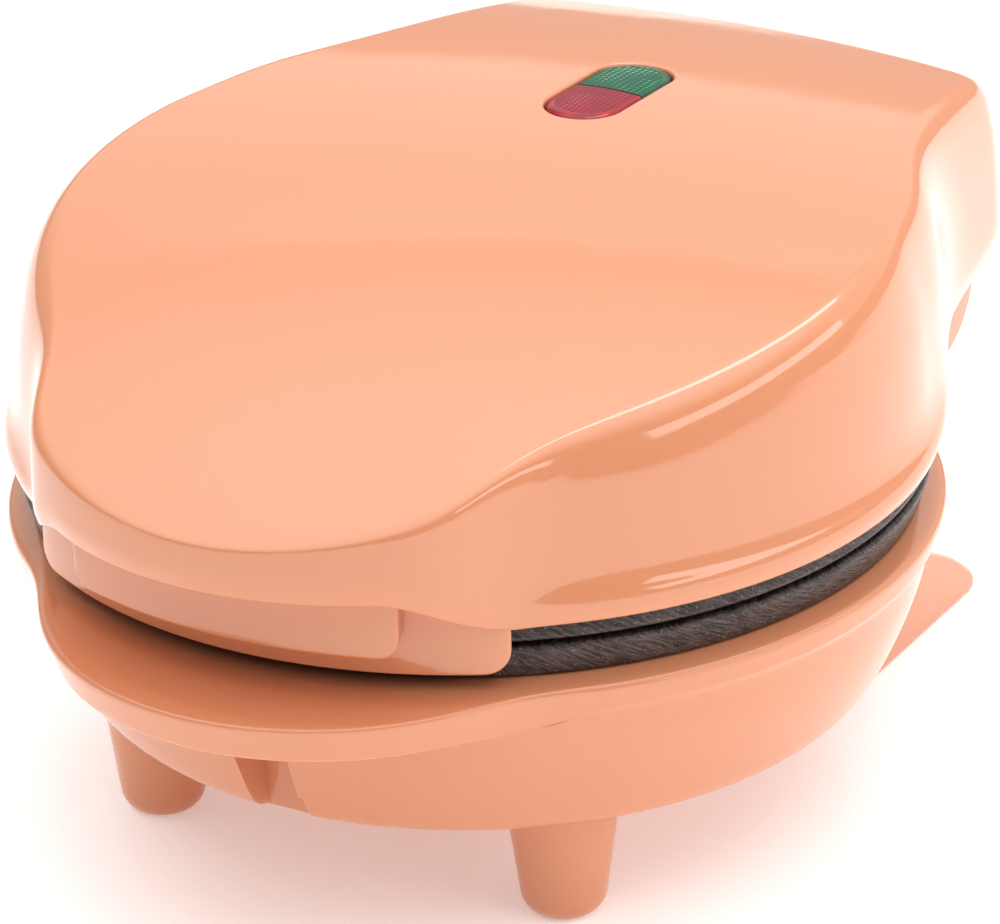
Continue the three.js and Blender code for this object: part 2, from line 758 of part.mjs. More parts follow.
function tabPocket() {
  const rings = (distance, height) => ring(baseDirections, distance, () => height);
  const inner = bandOutline(wall);
  const pocket = lofted([
    { points: rings(onAxis, flangeTop - flangeEdgeDrop - wall) },
    { points: rings(inner, flangeTop - flangeEdgeDrop - wall) },
    { points: rings(inner, bowlBottom) },
    { points: rings(onAxis, bowlBottom) },
  ]);
  return pocket.subtract(rod(flangeRadius + wall / 2, bowlBottom - overrun, flangeTop, turnedSteps));
}

const terminalFloor = bowlBottom + wall;
const sleeveExitHeight = blockTop - sleeveExitDrop;

function baseShell() {
  const ear = (side) => joined(
    sideSlab(discShape(hingeY, hingeZ, earRadius), earInner, earOuter, side, smallSteps * 2),
    sideSlab(polygonShape([[hingeY - earRadius, blockTop - wall], [blockBack, blockTop - wall],
      [blockBack, hingeZ - earRadius], [hingeY, hingeZ - earRadius], [hingeY, hingeZ],
      [hingeY - earRadius, hingeZ]]), earInner, earOuter, side, 1));
  const block = slabAlongX(blockShape(0), -blockHalfWidth, blockHalfWidth, smallSteps / 2);
  const blockHollow = slabAlongX(blockShape(wall), wall - blockHalfWidth, blockHalfWidth - wall,
    smallSteps / 2);
  const outer = joined(baseOuter(), block, ...onBothSides((side) => frontFoot(side, 0)));
  const bosses = screwPlaces.map(([x, y]) => rod(
    bossRadius, wall, partingBottom - rimThickness - fit, smallSteps, [x, y, 0]));
  const ribs = onBothSides((side) => {
    const near = side * (terminalLength / 2 + fit);
    const far = side * (terminalLength / 2 + fit + ribThickness);
    return box([Math.min(near, far), terminalBack, bowlBottom],
      [Math.max(near, far), terminalBack + terminalWidth, terminalFloor + ribHeight]);
  });
  const inner = joined(bowlHollow(), blockHollow, ...onBothSides((side) => frontFoot(side, wall)));
  const hollow = [frontNotch(wall), ...bosses, ...ribs].reduce((body, kept) => body.subtract(kept), inner);
  const screwHoles = screwPlaces.map(([x, y]) => rod(
    screwRadius + fit, partingBottom - screwLength - fit, partingBottom, smallSteps, [x, y, 0]));
  const pinHoles = onBothSides((side) => rod(pinRadius + fit, 0, earInner + pinInEar + fit, smallSteps)
    .rotate([0, side * 90, 0]).translate([0, hingeY, hingeZ]));
  const glandHole = rod(glandNeck + fit, -2 * wall, overrun, smallSteps * 2)
    .rotate([-90, 0, 0]).translate([0, blockBack, glandHeight]);
  const sleeveSlot = box([sleeveSide - sleeveHole, blockBack - wall - overrun, sleeveExitHeight],
    [sleeveSide + sleeveHole, flangeRadius + overrun, flangeTop + overrun]);
  return [frontNotch(0), tabPocket(), ...screwHoles, ...pinHoles, glandHole, sleeveSlot]
    .reduce((body, hole) => body.subtract(hole), joined(outer.subtract(hollow), ...onBothSides(ear)));
}

// Waffle plate, lying face up with its parting face at height zero
function wafflePlate() {
  const cavityTop = plateRimRadius - rimWidth;
  const cavityBottom = cavityTop - cavityDraft;
  const under = -cavityDepth - floorThickness;
  const rimInner = plateRimRadius - rimDraft;
  const dish = turned([
    [0, under], [cavityBottom + floorThickness / 2, under], [cavityTop + floorThickness / 2, -rimThickness],
    [rimInner - skirtThickness, -rimThickness], [rimInner - skirtThickness, fit - plateRimHeight],
    [rimInner, fit - plateRimHeight], [plateRimRadius, -rimChamfer], [plateRimRadius - rimChamfer, 0],
    [cavityTop, 0], [cavityBottom, -cavityDepth], [0, -cavityDepth]]);
  const pegs = [];
  for (let i = 0; i < pegCount; i++) {
    for (let j = 0; j < pegCount; j++) {
      const x = (i - (pegCount - 1) / 2) * pegPitch;
      const y = (j - (pegCount - 1) / 2) * pegPitch;
      if (Math.hypot(x, y) < cavityBottom - pegFieldMargin) {
        const peg = new THREE.CylinderGeometry(pegTopWidth / Math.SQRT2, pegWidth / Math.SQRT2,
          pegHeight + overrun, 4).rotateY(Math.PI / 4).rotateX(Math.PI / 2);
        pegs.push(solid(peg.translate(x, y, (pegHeight - overrun) / 2 - cavityDepth)));
      }
    }
  }
  const field = rod(cavityBottom - pegFieldMargin, under, 0, turnedSteps / 2);
  const post = rod(postRadius, under - postLength + fit, under + overrun, smallSteps);
  const holes = screwPlaces.map(([x, y]) => turned([
    [0, -plateRimHeight], [screwRadius + fit, -plateRimHeight], [screwRadius + fit, -screwHeadHeight - fit],
    [screwHeadRadius + fit, -fit], [screwHeadRadius + fit, overrun], [0, overrun]], smallSteps, [x, y, 0]));
  const postHole = rod(screwRadius + fit, under - postLength, under - fit, smallSteps);
  return [...holes, postHole].reduce((body, hole) => body.subtract(hole),
    joined(dish, joined(...pegs).intersect(field), post));
}

const plateBack = cavityDepth + floorThickness;
const lowerBack = partingBottom - plateBack;
const heaterDepth = plateBack + 2 * fit + heaterTube;
const reflectorDepth = plateBack + postLength + reflectorThickness;
const terminalHeight = partingBottom - reflectorDepth - terminalClearance - terminalFloor;

function smallHoles(places, depth) {
  return places.map(([x, y]) => rod(smallScrewRadius + fit, -plateBack - overrun, depth - plateBack,
    smallSteps, [x, y, 0]));
}

const thermostatScrews = onBothSides(
  (side) => [side * (thermostatEar - smallHeadRadius / 2), -thermostatForward]);
const clipScrew = [fuseSide, fuseRadius + clipTongue / 2 - fuseForward];
const smallHoleDepth = smallScrewLength - thermostatEarThickness;

function lowerPlate() {
  return smallHoles([...thermostatScrews, clipScrew], smallHoleDepth)
    .reduce((body, hole) => body.subtract(hole), wafflePlate());
}

// Screws, standing point up with the underside of the head at height zero
function countersunkScrew() {
  return turned([[0, -screwLength], [screwRadius, fit - screwLength], [screwRadius, -screwHeadHeight],
    [screwHeadRadius, 0], [0, 0]], smallSteps);
}

function panScrew(radius, length, headRadius, headHeight) {
  return turned([[0, -length], [radius, fit - length], [radius, 0], [headRadius, 0],
    [headRadius, headHeight / 2], [headRadius / 2, headHeight], [0, headHeight]], smallSteps);
}

// Heater: an open ring of steel tube with its two ends turned away from the plate
function heater() {
  const first = 90 + heaterGapAngle;
  const count = turnedSteps / 2;
  const span = 360 - 2 * heaterGapAngle;
  const at = (degrees, height) => [heaterRadius * Math.cos(radians(degrees)),
    heaterRadius * Math.sin(radians(degrees)), height];
  const bendAngle = THREE.MathUtils.radToDeg(heaterBend / heaterRadius);
  const middle = Array.from({ length: count + 1 }, (_, k) => at(
    first + bendAngle + ((span - 2 * bendAngle) * k) / count, 0));
  const points = [at(first, -heaterLeg), at(first, -heaterBend), ...middle,
    at(first + span, -heaterBend), at(first + span, -heaterLeg)];
  return tube(points, heaterTube, turnedSteps * 4 / 5);
}

const heaterFeet = [90 + heaterGapAngle, 90 - heaterGapAngle].map((degrees) => [
  heaterRadius * Math.cos(radians(degrees)), heaterRadius * Math.sin(radians(degrees))]);

function reflector(withThermostat) {
  const shape = new THREE.Shape().absarc(0, 0, reflectorRadius, 0, 2 * Math.PI, false);
  const hole = (x, y, radius) => new THREE.Path().absarc(x, y, radius, 0, 2 * Math.PI, true);
  shape.holes.push(hole(0, 0, screwRadius + fit), ...heaterFeet.map(([x, y]) => hole(x, y, legHoleRadius)));
  if (withThermostat) shape.holes.push(hole(0, -thermostatForward, thermostatRadius + overrun));
  const options = { depth: reflectorThickness, bevelEnabled: false, curveSegments: smallSteps };
  return solid(new THREE.ExtrudeGeometry(shape, options));
}

// Thermostat under the lower plate, hanging from height zero
function thermostat() {
  const can = rod(thermostatRadius, -thermostatHeight, 0, smallSteps * 2);
  const ears = box([-thermostatEar - smallHeadRadius, -thermostatEarWidth / 2, -thermostatEarThickness],
    [thermostatEar + smallHeadRadius, thermostatEarWidth / 2, 0]);
  const holes = onBothSides((side) => rod(smallScrewRadius + fit, -overrun - wall, overrun, smallSteps,
    [side * (thermostatEar - smallHeadRadius / 2), 0, 0]));
  const blades = onBothSides((side) => box(
    [side * bladeSpread - bladeThickness / 2, -bladeWidth / 2, -thermostatHeight - bladeLength],
    [side * bladeSpread + bladeThickness / 2, bladeWidth / 2, -thermostatHeight / 2]));
  return holes.reduce((body, hole) => body.subtract(hole), joined(can, ears, ...blades));
}

function fuse() {
  const half = fuseLength / 2;
  const end = fuseRadius / 2;
  return turned([[0, -half], [end, -half], [fuseRadius, end - half], [fuseRadius, half - end], [end, half],
    [0, half]], smallSteps).rotate([0, 90, 0]);
}

// Clip: a strap over the fuse with a flat tongue for its screw, hanging from height zero
function fuseClip() {
  const reach = fuseRadius + fit;
  const arch = [[-reach - clipThickness, 0], [-reach - clipThickness, -2 * reach],
    [-reach, -2 * reach - clipThickness], [reach, -2 * reach - clipThickness],
    [reach + clipThickness, -2 * reach], [reach + clipThickness, -clipThickness],
    [reach + clipTongue, -clipThickness], [reach + clipTongue, 0], [reach, 0], [reach, -2 * reach],
    [-reach, -2 * reach], [-reach, 0]];
  const strap = slabAlongX(polygonShape(arch), -clipWidth / 2, clipWidth / 2, 1);
  return strap.subtract(rod(smallScrewRadius + fit, -wall, overrun, smallSteps,
    [0, fuseRadius + clipTongue / 2, 0]));
}

function terminalBlock() {
  const body = box([-terminalLength / 2, 0, 0], [terminalLength / 2, terminalWidth, terminalHeight]);
  const holes = [-1, 0, 1].flatMap((place) => [
    rod(terminalHole, -overrun, terminalWidth + overrun, smallSteps).rotate([-90, 0, 0])
      .translate([place * terminalPitch, 0, terminalHeight / 2]),
    rod(terminalHole, terminalHeight / 2, terminalHeight + overrun, smallSteps,
      [place * terminalPitch, terminalWidth / 2, 0])]);
  return holes.reduce((whole, hole) => whole.subtract(hole), body);
}

// Gland for the mains cord, turned about its bore; height zero is the outside of the wall
function cordGland() {
  return turned([[glandBore, -wall - fit - glandCollarDepth], [glandCollar, -wall - fit - glandCollarDepth],
    [glandCollar, -wall - fit], [glandNeck, -wall - fit], [glandNeck, fit], [glandCollar, fit],
    [glandCollar - fit, fit + glandCollarDepth], [glandBore, fit + glandCollarDepth],
    [glandBore, -wall - fit - glandCollarDepth]], smallSteps * 2);
}

// Sleeved wires: one half in the base, one in the lid, each ending short of the hinge's axis
const sleeveRise = blockBack + fit + sleeveRadius;

function baseSleeve() {
  const start = terminalFloor + terminalHeight / 2;
  const behind = terminalBack + terminalWidth;
  const inside = blockBack - wall - sleeveBend;
  return tube([
    [terminalPitch, behind + fit, start],
    [terminalPitch, behind + sleeveBend, start],
    [sleeveSide, (behind + inside) / 2 + sleeveBend, start + sleeveRadius],
    [sleeveSide, inside, sleeveExitHeight],
    [sleeveSide, blockBack, blockTop - sleeveRadius],
    [sleeveSide, sleeveRise, partingBottom - sleeveRadius],
    [sleeveSide, sleeveRise, hingeZ - sleeveEndGap]], sleeveRadius, smallSteps * 3);
}

function lidSleeve() {
  const above = partingTop + plateBack + postLength + 2 * reflectorThickness + sleeveBend;
  return tube([
    [sleeveSide, hingeY, hingeZ + sleeveEndGap],
    [sleeveSide, hingeY, hingeZ + sleeveEndGap + sleeveBend],
    [sleeveSide, hingeY - sleeveBend, above - sleeveBend],
    [sleeveSide, hingeY - 3 * sleeveBend, above],
    [sleeveSide, heaterRadius + sleeveBend, above]], sleeveRadius, smallSteps * 2);
}

function rearCover() {
  const plate = box([-coverHalfWidth, coverY, coverBottom],
    [coverHalfWidth, coverBack, coverBottom + coverThickness]);
  const holes = coverScrews.map(([x, y]) => rod(screwRadius + fit, coverBottom - overrun,
    coverBottom + coverThickness + overrun, smallSteps, [x, y, 0]));
  const slot = box([sleeveSide - sleeveHole, coverY - overrun, coverBottom - overrun],
    [sleeveSide + sleeveHole, hingeY + coverSleeveBack + sleeveHole, coverBottom + coverThickness + overrun]);
  return [...holes, slot].reduce((body, hole) => body.subtract(hole), plate);
}

// Half of the indicator lens, seen from its own surface at height zero; side -1 is the front half
function lensHalf(side) {
  const seat = -wall - lensSeat;
  const plug = obround(lensHalfWidth - fit, lensHalfLength - fit, seat, -lensSink);
  const flange = obround(lensHalfWidth + lensFlange, lensHalfLength + lensFlange,
    seat - lensFlangeThickness, seat);
  const reach = lensHalfLength + lensFlange + overrun;
  const [near, far] = [side * fit / 2, side * reach];
  const half = box([-reach, Math.min(near, far), -lampBoxHeight], [reach, Math.max(near, far), overrun]);
  return joined(plug, flange).intersect(half);
}

function lampHolder() {
  const halfWidth = lensHalfWidth + lensFlange;
  const halfLength = lensHalfLength + lensFlange;
  const bottom = lampBoxTop - lampBoxHeight;
  const outer = box([-halfWidth, -halfLength, bottom], [halfWidth, halfLength, lampBoxTop]);
  const cells = onBothSides((side) => {
    const near = side * lampBoxWall / 2;
    const far = side * (halfLength - lampBoxWall);
    return box([lampBoxWall - halfWidth, Math.min(near, far), bottom + lampBoxWall],
      [halfWidth - lampBoxWall, Math.max(near, far), lampBoxTop + overrun]);
  });
  const ears = box([-lampBoxEar, -lampEarPlace - lampBoxEar, lampBoxTop - lampBoxEarThickness],
    [lampBoxEar, lampEarPlace + lampBoxEar, lampBoxTop]);
  const holes = onBothSides((side) => rod(smallScrewRadius + fit, bottom, overrun, smallSteps,
    [0, side * lampEarPlace, 0]));
  return [...cells, ...holes].reduce((body, hole) => body.subtract(hole), joined(outer, ears));
}

function lamp() {
  return turned([[0, 0], [lampRadius, 0], [lampRadius, lampLength - lampTip], [lampRadius / 2, lampLength],
    [0, lampLength]], smallSteps);
}

// Assembly: the base and the lid, each a group of its own pieces
const basePieces = new THREE.Group();
const lidPieces = new THREE.Group();
const indicator = new THREE.Group();
indicator.position.set(0, indicatorBack, indicatorZ);
indicator.rotation.x = indicatorTilt;
lidPieces.add(indicator);

function place(group, name, body, material, position = [0, 0, 0], rotation = [0, 0, 0]) {
  const mesh = new THREE.Mesh(geometryOf(body), material);
  mesh.name = name;
  mesh.position.set(...position);
  mesh.rotation.set(...rotation);
  group.add(mesh);
}

const flipped = [Math.PI, 0, 0];

place(basePieces, "base_shell", baseShell(), apricotPlastic);
place(basePieces, "lower_plate", lowerPlate(), coatedPlate, [0, 0, partingBottom]);
place(lidPieces, "lid_shell", lidShell(), apricotPlastic);
place(lidPieces, "upper_plate", wafflePlate(), coatedPlate, [0, 0, partingTop], flipped);

screwPlaces.forEach(([x, y], k) => {
  place(basePieces, `lower_plate_screw_${k + 1}`, countersunkScrew(), zincSteel, [x, y, partingBottom]);
  place(lidPieces, `upper_plate_screw_${k + 1}`, countersunkScrew(), zincSteel, [x, y, partingTop], flipped);
});

place(basePieces, "lower_heater", heater(), heaterSteel, [0, 0, partingBottom - heaterDepth]);
place(lidPieces, "upper_heater", heater(), heaterSteel, [0, 0, partingTop + heaterDepth],
  [Math.PI, 0, Math.PI]);
place(basePieces, "lower_reflector", reflector(true), sheetSteel, [0, 0, partingBottom - reflectorDepth]);
place(lidPieces, "upper_reflector", reflector(false), sheetSteel, [0, 0, partingTop + reflectorDepth],
  [Math.PI, 0, Math.PI]);

const reflectorScrew = () => panScrew(screwRadius, postLength - overrun, screwHeadRadius, screwHeadHeight);
place(basePieces, "lower_reflector_screw", reflectorScrew(), zincSteel,
  [0, 0, partingBottom - reflectorDepth - fit], flipped);
place(lidPieces, "upper_reflector_screw", reflectorScrew(), zincSteel,
  [0, 0, partingTop + reflectorDepth + fit]);

const smallScrew = () => panScrew(smallScrewRadius, smallScrewLength, smallHeadRadius, smallHeadHeight);
const underPlate = lowerBack - fit;
place(basePieces, "thermostat", thermostat(), bakelite, [0, -thermostatForward, underPlate]);
thermostatScrews.forEach(([x, y], k) => {
  place(basePieces, `thermostat_screw_${k + 1}`, smallScrew(), zincSteel,
    [x, y, underPlate - thermostatEarThickness - fit], flipped);
});
place(basePieces, "thermal_fuse", fuse(), glassSleeve, [fuseSide, -fuseForward, underPlate - fuseRadius]);
place(basePieces, "fuse_clip", fuseClip(), sheetSteel, [fuseSide, -fuseForward, underPlate]);
place(basePieces, "fuse_clip_screw", smallScrew(), zincSteel,
  [...clipScrew, underPlate - clipThickness - fit], flipped);

place(basePieces, "terminal_block", terminalBlock(), ivoryPlastic, [0, terminalBack, terminalFloor + fit]);
place(basePieces, "cord_gland", cordGland(), blackRubber, [0, blockBack, glandHeight], [-Math.PI / 2, 0, 0]);
place(basePieces, "base_wire_sleeve", baseSleeve(), glassSleeve);
place(lidPieces, "lid_wire_sleeve", lidSleeve(), glassSleeve);

["left", "right"].forEach((name, k) => {
  const side = 2 * k - 1;
  const pin = rod(pinRadius, lugInner - pinPastLug, earInner + pinInEar, smallSteps);
  place(basePieces, `hinge_pin_${name}`, pin, zincSteel, [0, hingeY, hingeZ], [0, side * Math.PI / 2, 0]);
});

place(lidPieces, "hinge_cover", rearCover(), apricotPlastic);
coverScrews.forEach(([x, y], k) => {
  place(lidPieces, `hinge_cover_screw_${k + 1}`,
    panScrew(screwRadius, screwLength - screwHeadHeight, screwHeadRadius, screwHeadHeight), zincSteel,
    [x, y, coverBottom - fit], flipped);
});

place(indicator, "power_lens", lensHalf(-1), redClear);
place(indicator, "ready_lens", lensHalf(1), greenClear);
place(indicator, "lamp_holder", lampHolder(), ivoryPlastic);
const lampFloor = lampBoxTop - lampBoxHeight + lampBoxWall + fit;
place(indicator, "power_lamp", lamp(), lampGlass, [0, -lensHalfLength / 2, lampFloor]);
place(indicator, "ready_lamp", lamp(), lampGlass, [0, lensHalfLength / 2, lampFloor]);
onBothSides((side) => side).forEach((side, k) => {
  place(indicator, `lamp_holder_screw_${k + 1}`,
    panScrew(smallScrewRadius, smallScrewLength, smallHeadRadius, smallHeadHeight), zincSteel,
    [0, side * lampEarPlace, lampBoxTop - lampBoxEarThickness - fit], flipped);
});

// The origin is under the middle of the whole part's length, on the table
const waffleMaker = new THREE.Group();
waffleMaker.add(basePieces, lidPieces);
const extent = new THREE.Box3().setFromObject(waffleMaker);
waffleMaker.position.y = -(extent.min.y + extent.max.y) / 2;

export default waffleMaker;
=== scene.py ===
"""Mini waffle maker in gloss apricot plastic, with dark coated plates.

Lengths are millimetres on the appliance's own axis until a mesh is made, and metres after that.
"""

import math

import bpy
import numpy as np
from mathutils import Matrix, Vector


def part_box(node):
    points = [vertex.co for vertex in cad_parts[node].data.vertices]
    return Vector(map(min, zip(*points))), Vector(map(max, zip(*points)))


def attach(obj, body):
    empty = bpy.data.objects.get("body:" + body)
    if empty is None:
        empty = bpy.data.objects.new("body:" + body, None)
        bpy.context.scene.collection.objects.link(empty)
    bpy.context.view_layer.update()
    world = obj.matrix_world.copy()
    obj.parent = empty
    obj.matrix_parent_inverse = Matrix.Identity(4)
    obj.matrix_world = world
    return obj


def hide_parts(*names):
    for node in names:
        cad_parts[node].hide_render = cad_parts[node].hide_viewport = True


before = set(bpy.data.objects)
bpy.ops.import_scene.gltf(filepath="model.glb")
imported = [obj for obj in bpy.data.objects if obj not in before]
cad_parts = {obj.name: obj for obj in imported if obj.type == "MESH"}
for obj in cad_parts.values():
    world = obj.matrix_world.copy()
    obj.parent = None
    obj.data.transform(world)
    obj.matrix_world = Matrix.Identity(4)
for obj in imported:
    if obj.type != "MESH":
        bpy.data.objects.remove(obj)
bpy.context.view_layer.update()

MM = 0.001
AXIS_BACK = -5.1692  # where the round plates' axis stands in the shared frame, along Y

# Heights from the table up
FOOT_HEIGHT = 16.3
BOWL_DEPTH = 26.5
PLATE_RIM_HEIGHT = 5.0
PARTING_GAP = 0.7
UPPER_RIM_SHOWN = 2.7
LID_HEIGHT = 35.6
BOWL_BOTTOM = FOOT_HEIGHT
FLANGE_TOP = BOWL_BOTTOM + BOWL_DEPTH
PARTING_BOTTOM = FLANGE_TOP + PLATE_RIM_HEIGHT
PARTING_TOP = PARTING_BOTTOM + PARTING_GAP
LIP_BOTTOM = PARTING_TOP + UPPER_RIM_SHOWN
CROWN_PEAK = LIP_BOTTOM + LID_HEIGHT

# Round body and walls
WALL = 2.2
FIT = 0.3
NEAR_AXIS = 0.01  # radius of the last ring of a turned form, which a flat cap closes
PLATE_RADIUS = 63.0
FLANGE_RADIUS = 65.2
LIP_RADIUS = 65.0
LID_BODY_RADIUS = 63.2

# Lid from above
LOBE_REACH = 75.5
LOBE_RADIUS = 46.0
LOBE_HALF_WIDTH = 28.0
LOBE_TAPER = 0.366
LOBE_CORNER = 6.0
LOBE_WAIST = 10.0
HIND_WAIST = 20.0
HINGE_Y = 65.2
HINGE_Z = 53.3
HIND_PAST_HINGE = 23.8
HIND_REACH = HINGE_Y + HIND_PAST_HINGE
HIND_HALF_WIDTH = 39.6
HIND_TAPER = 0.2
HIND_ARC = 172.0
HIND_CORNER = 6.8
BODY_DRAFT = 3.8
LOBE_DRAFT = 0.3
HIND_SIDE_DRAFT = 2.8
HIND_BACK_DRAFT = 0.4

# Degrees from straight ahead or straight back between which a form of the front or the rear fades
HIND_WAIST_FADE = (55, 85)
HANDLE_LIFT_FADE = (19, 35)
HIND_LIFT_FADE = (36, 60)
FRONT_EDGE_FADE = (30, 70)
MOUTH_FADE = (35, 40)
TAB_FADE = (36, 46)

# Lid from the side
CROWN_PEAK_BACK = 25.0
CROWN_LENGTH_RADIUS = 255.0
CROWN_CROSS_RADIUS = 585.0
CROWN_BEND_FRONT = 35.0
CROWN_BEND_RADIUS = 500.0
TOP_EDGE = 6.5
FRONT_EDGE = 4.0
HIND_EDGE = 6.0
SHOULDER_HEIGHT = 0.6  # as a share of the wall's height, and its draft as one of the top's
SHOULDER_DRAFT = 0.25
SHOULDER_ROUNDING = 6.0
FOOT_RISE = 5.8
CREST_RISE = 2.6
FOOT_ROUNDING = 3.0
CREST_ROUNDING = 1.4
LOW_EDGE_INSET = 0.9
LOW_EDGE_ROUNDING = 0.5
HANDLE_LIFT = 6.9
HIND_LIFT = 2.8
LIP_BLEND = 3.0
MOUTH_CLOSING = 2.0  # how much smaller the opening for the plate is in front
SHELF_LEDGE = 1.4

# Skirt and grip block under the lid's front
SKIRT_HALF_ANGLE = 33.8
SKIRT_DROP = 6.2
SKIRT_CORNER = 3.6
GRIP_HALF_ANGLE = 21.4
GRIP_PROUD = 3.2
GRIP_DROP = 2.6
GRIP_CORNER = 3.0
FRONT_SINK = 1.1  # how far both reach into the lid above and the grip into the skirt behind
FRONT_ROUNDING = 0.5

# Hinge: ears on the base outside, lugs on the lid between them
EAR_RADIUS = 12.1
EAR_THICKNESS = 4.3
EAR_FIT = 0.5
EAR_ROUNDING = 0.6
LUG_RADIUS = 6.5
LUG_THICKNESS = 6.0
LUG_FIT = 0.4
LUG_ROUNDING = 0.5
EAR_OUTER = HIND_HALF_WIDTH + HIND_TAPER * (HIND_PAST_HINGE - EAR_RADIUS) - WALL - EAR_FIT
EAR_INNER = EAR_OUTER - EAR_THICKNESS
LUG_OUTER = EAR_INNER - LUG_FIT
LUG_INNER = LUG_OUTER - LUG_THICKNESS

# Base
TAB_REACH = 79.0
TAB_RADIUS = 38.8
TAB_BLEND = 9.0
FLANGE_EDGE_DROP = 0.8
FLANGE_BAND = 4.2
TAB_BAND = 6.6
FLANGE_BAND_INSET = 0.7
TAB_BAND_INSET = 2.2
BOWL_TOP_RADIUS = 63.5
BOWL_SHOULDER_INSET = 2.0
BOWL_HEEL_INSET = 6.7
BOWL_BOTTOM_RADIUS = 54.1
BOWL_SHOULDER_HEIGHT = 0.48  # as a share of the bowl's depth, like the next one
BOWL_HEEL_HEIGHT = 0.07
BOWL_ROUNDING = 26.5
SEAT_INSET = 5.4
SEAT_DEPTH = 5
POCKET_START = 1.5
BAND_CHAMFER = 1.2
BLOCK_HALF_WIDTH = 39.6
BLOCK_BACK = 62.0
BLOCK_TOP = 42.0
BLOCK_FRONT = 40.0
BLOCK_ROUNDING = 0.8
TAIL_PAST_HINGE = 12.6
NOTCH_RIGHT = 1.3
NOTCH_HALF_WIDTH = 3.9
NOTCH_DEPTH = 0.9
NOTCH_SLOPE = 1.2
FRONT_FOOT_RIGHT = 31.9
FRONT_FOOT_AHEAD = 34.1

# Waffle plates, as depths below their own rim
PLATE_BRIM = 13.2
WELL_SLOPE = 2.3
WELL_DEPTH = 6.8
PLATE_BACK = 9.8
BRIM_BACK = 3
SEAT_LIP = 4.7
PEG_PITCH = 15
PEG_ROWS = 6
PEG_CLEARANCE = 1.6
PEG_SQUARENESS = 0.35  # the power that turns a circle into a rounded square

# Plate screws
SCREW_HEAD_RADIUS = 2.9
SCREW_SHANK_RADIUS = 1.5
CROSS_HALF_WIDTH = 0.45
CROSS_REACH = 1.8
CROSS_DEPTH = 0.9

# Indicator window
WINDOW_BACK = 39.5
WINDOW_HALF_WIDTH = 5.7
WINDOW_HALF_LENGTH = 12.8
WINDOW_RIM = 0.7
LENS_SINK = 0.2
LENS_SWELL = 0.2
LENS_DEPTH = 3.1

# Points round the lid and round the base, which keep each shell under 200,000 triangles
LID_STEPS = 500
BASE_STEPS = 450


# Outlines and profiles

def smooth_max(a, b, blend):
    """The larger of a and b, raised by blend/6 times the cube of how close they are."""
    share = np.maximum(blend - np.abs(a - b), 0) / np.maximum(blend, 1e-6)
    return np.maximum(a, b) + blend * share**3 / 6


def smooth_min(a, b, blend):
    """The smaller of a and b, lowered in the same way."""
    return -smooth_max(-a, -b, blend)


def from_front(angle):
    """Degrees between a direction and straight ahead, which is -Y."""
    return np.degrees(np.arccos(np.clip(-np.sin(angle), -1, 1)))


def from_back(angle):
    """Degrees between a direction and straight back, which is +Y."""
    return np.degrees(np.arccos(np.clip(np.sin(angle), -1, 1)))


def fade(degrees, full, end):
    """1 up to full, 0 past end, and 1 - s*s*(3 - 2*s) between them."""
    s = np.clip((degrees - full) / (end - full), 0, 1)
    return 1 - s * s * (3 - 2 * s)


def lobe_distance(angle, reach, radius, inset):
    """Distance from the axis to a circle of that radius whose far side is at reach, in front."""
    setback = reach - radius
    ahead = -np.sin(angle)
    across = (radius - inset) ** 2 - setback**2 * (1 - ahead**2)
    return setback * ahead + np.sqrt(np.maximum(across, 0))


def side_distance(angle, ahead, half_width, taper, reach, inset):
    """Distance to two straight sides that close in the way they face; ahead is 1 straight that
    way."""
    clear = half_width + taper * reach - inset * math.hypot(1, taper)
    return clear / np.maximum(np.abs(np.cos(angle)) + taper * np.maximum(ahead, 0), 0.01)


def hand_distance(angle, inset):
    """Distance to the lobe for the hand: a round front between two straight flanks."""
    ahead = -np.sin(angle)
    flank = side_distance(angle, ahead, LOBE_HALF_WIDTH, LOBE_TAPER, LOBE_REACH, inset)
    front = lobe_distance(angle, LOBE_REACH, LOBE_RADIUS, inset)
    return np.where(ahead > 0, smooth_min(front, flank, LOBE_CORNER), 0)


def hind_distance(angle, inset, side_draft, back_draft):
    """Distance to two straight sides that close in backwards and to a shallow arc behind them."""
    back = np.sin(angle)
    side = side_distance(angle, back, HIND_HALF_WIDTH, HIND_TAPER, HIND_REACH, inset + side_draft)
    centre = HIND_REACH - HIND_ARC
    radius = HIND_ARC - inset - back_draft
    arc = centre * back + np.sqrt(np.maximum(radius**2 - (centre * np.cos(angle)) ** 2, 0))
    return np.where(back > 0, smooth_min(side, arc, HIND_CORNER), 0)


def lid_outline(angle, inset=0.0, drafted=0.0):
    """Round body, front lobe and hind block joined softly; drafted is 0 at the walls' foot and 1 at
    the top."""
    front = hand_distance(angle, inset + drafted * LOBE_DRAFT)
    body = smooth_max(LID_BODY_RADIUS - inset - drafted * BODY_DRAFT, front, LOBE_WAIST)
    hind = hind_distance(angle, inset, drafted * HIND_SIDE_DRAFT, drafted * HIND_BACK_DRAFT)
    return smooth_max(body, hind, HIND_WAIST * fade(from_back(angle), *HIND_WAIST_FADE))


def base_outline(angle):
    """Round flange and front tab joined softly."""
    return smooth_max(FLANGE_RADIUS, lobe_distance(angle, TAB_REACH, TAB_RADIUS, 0), TAB_BLEND)


def crown(x, y):
    """The lid's top: two parabolas, flatter across than along, and a third that sets in at a line
    in front."""
    return CROWN_PEAK - (y - CROWN_PEAK_BACK) ** 2 / (2 * CROWN_LENGTH_RADIUS) \
        - x**2 / (2 * CROWN_CROSS_RADIUS) \
        - np.maximum(-y - CROWN_BEND_FRONT, 0) ** 2 / (2 * CROWN_BEND_RADIUS)


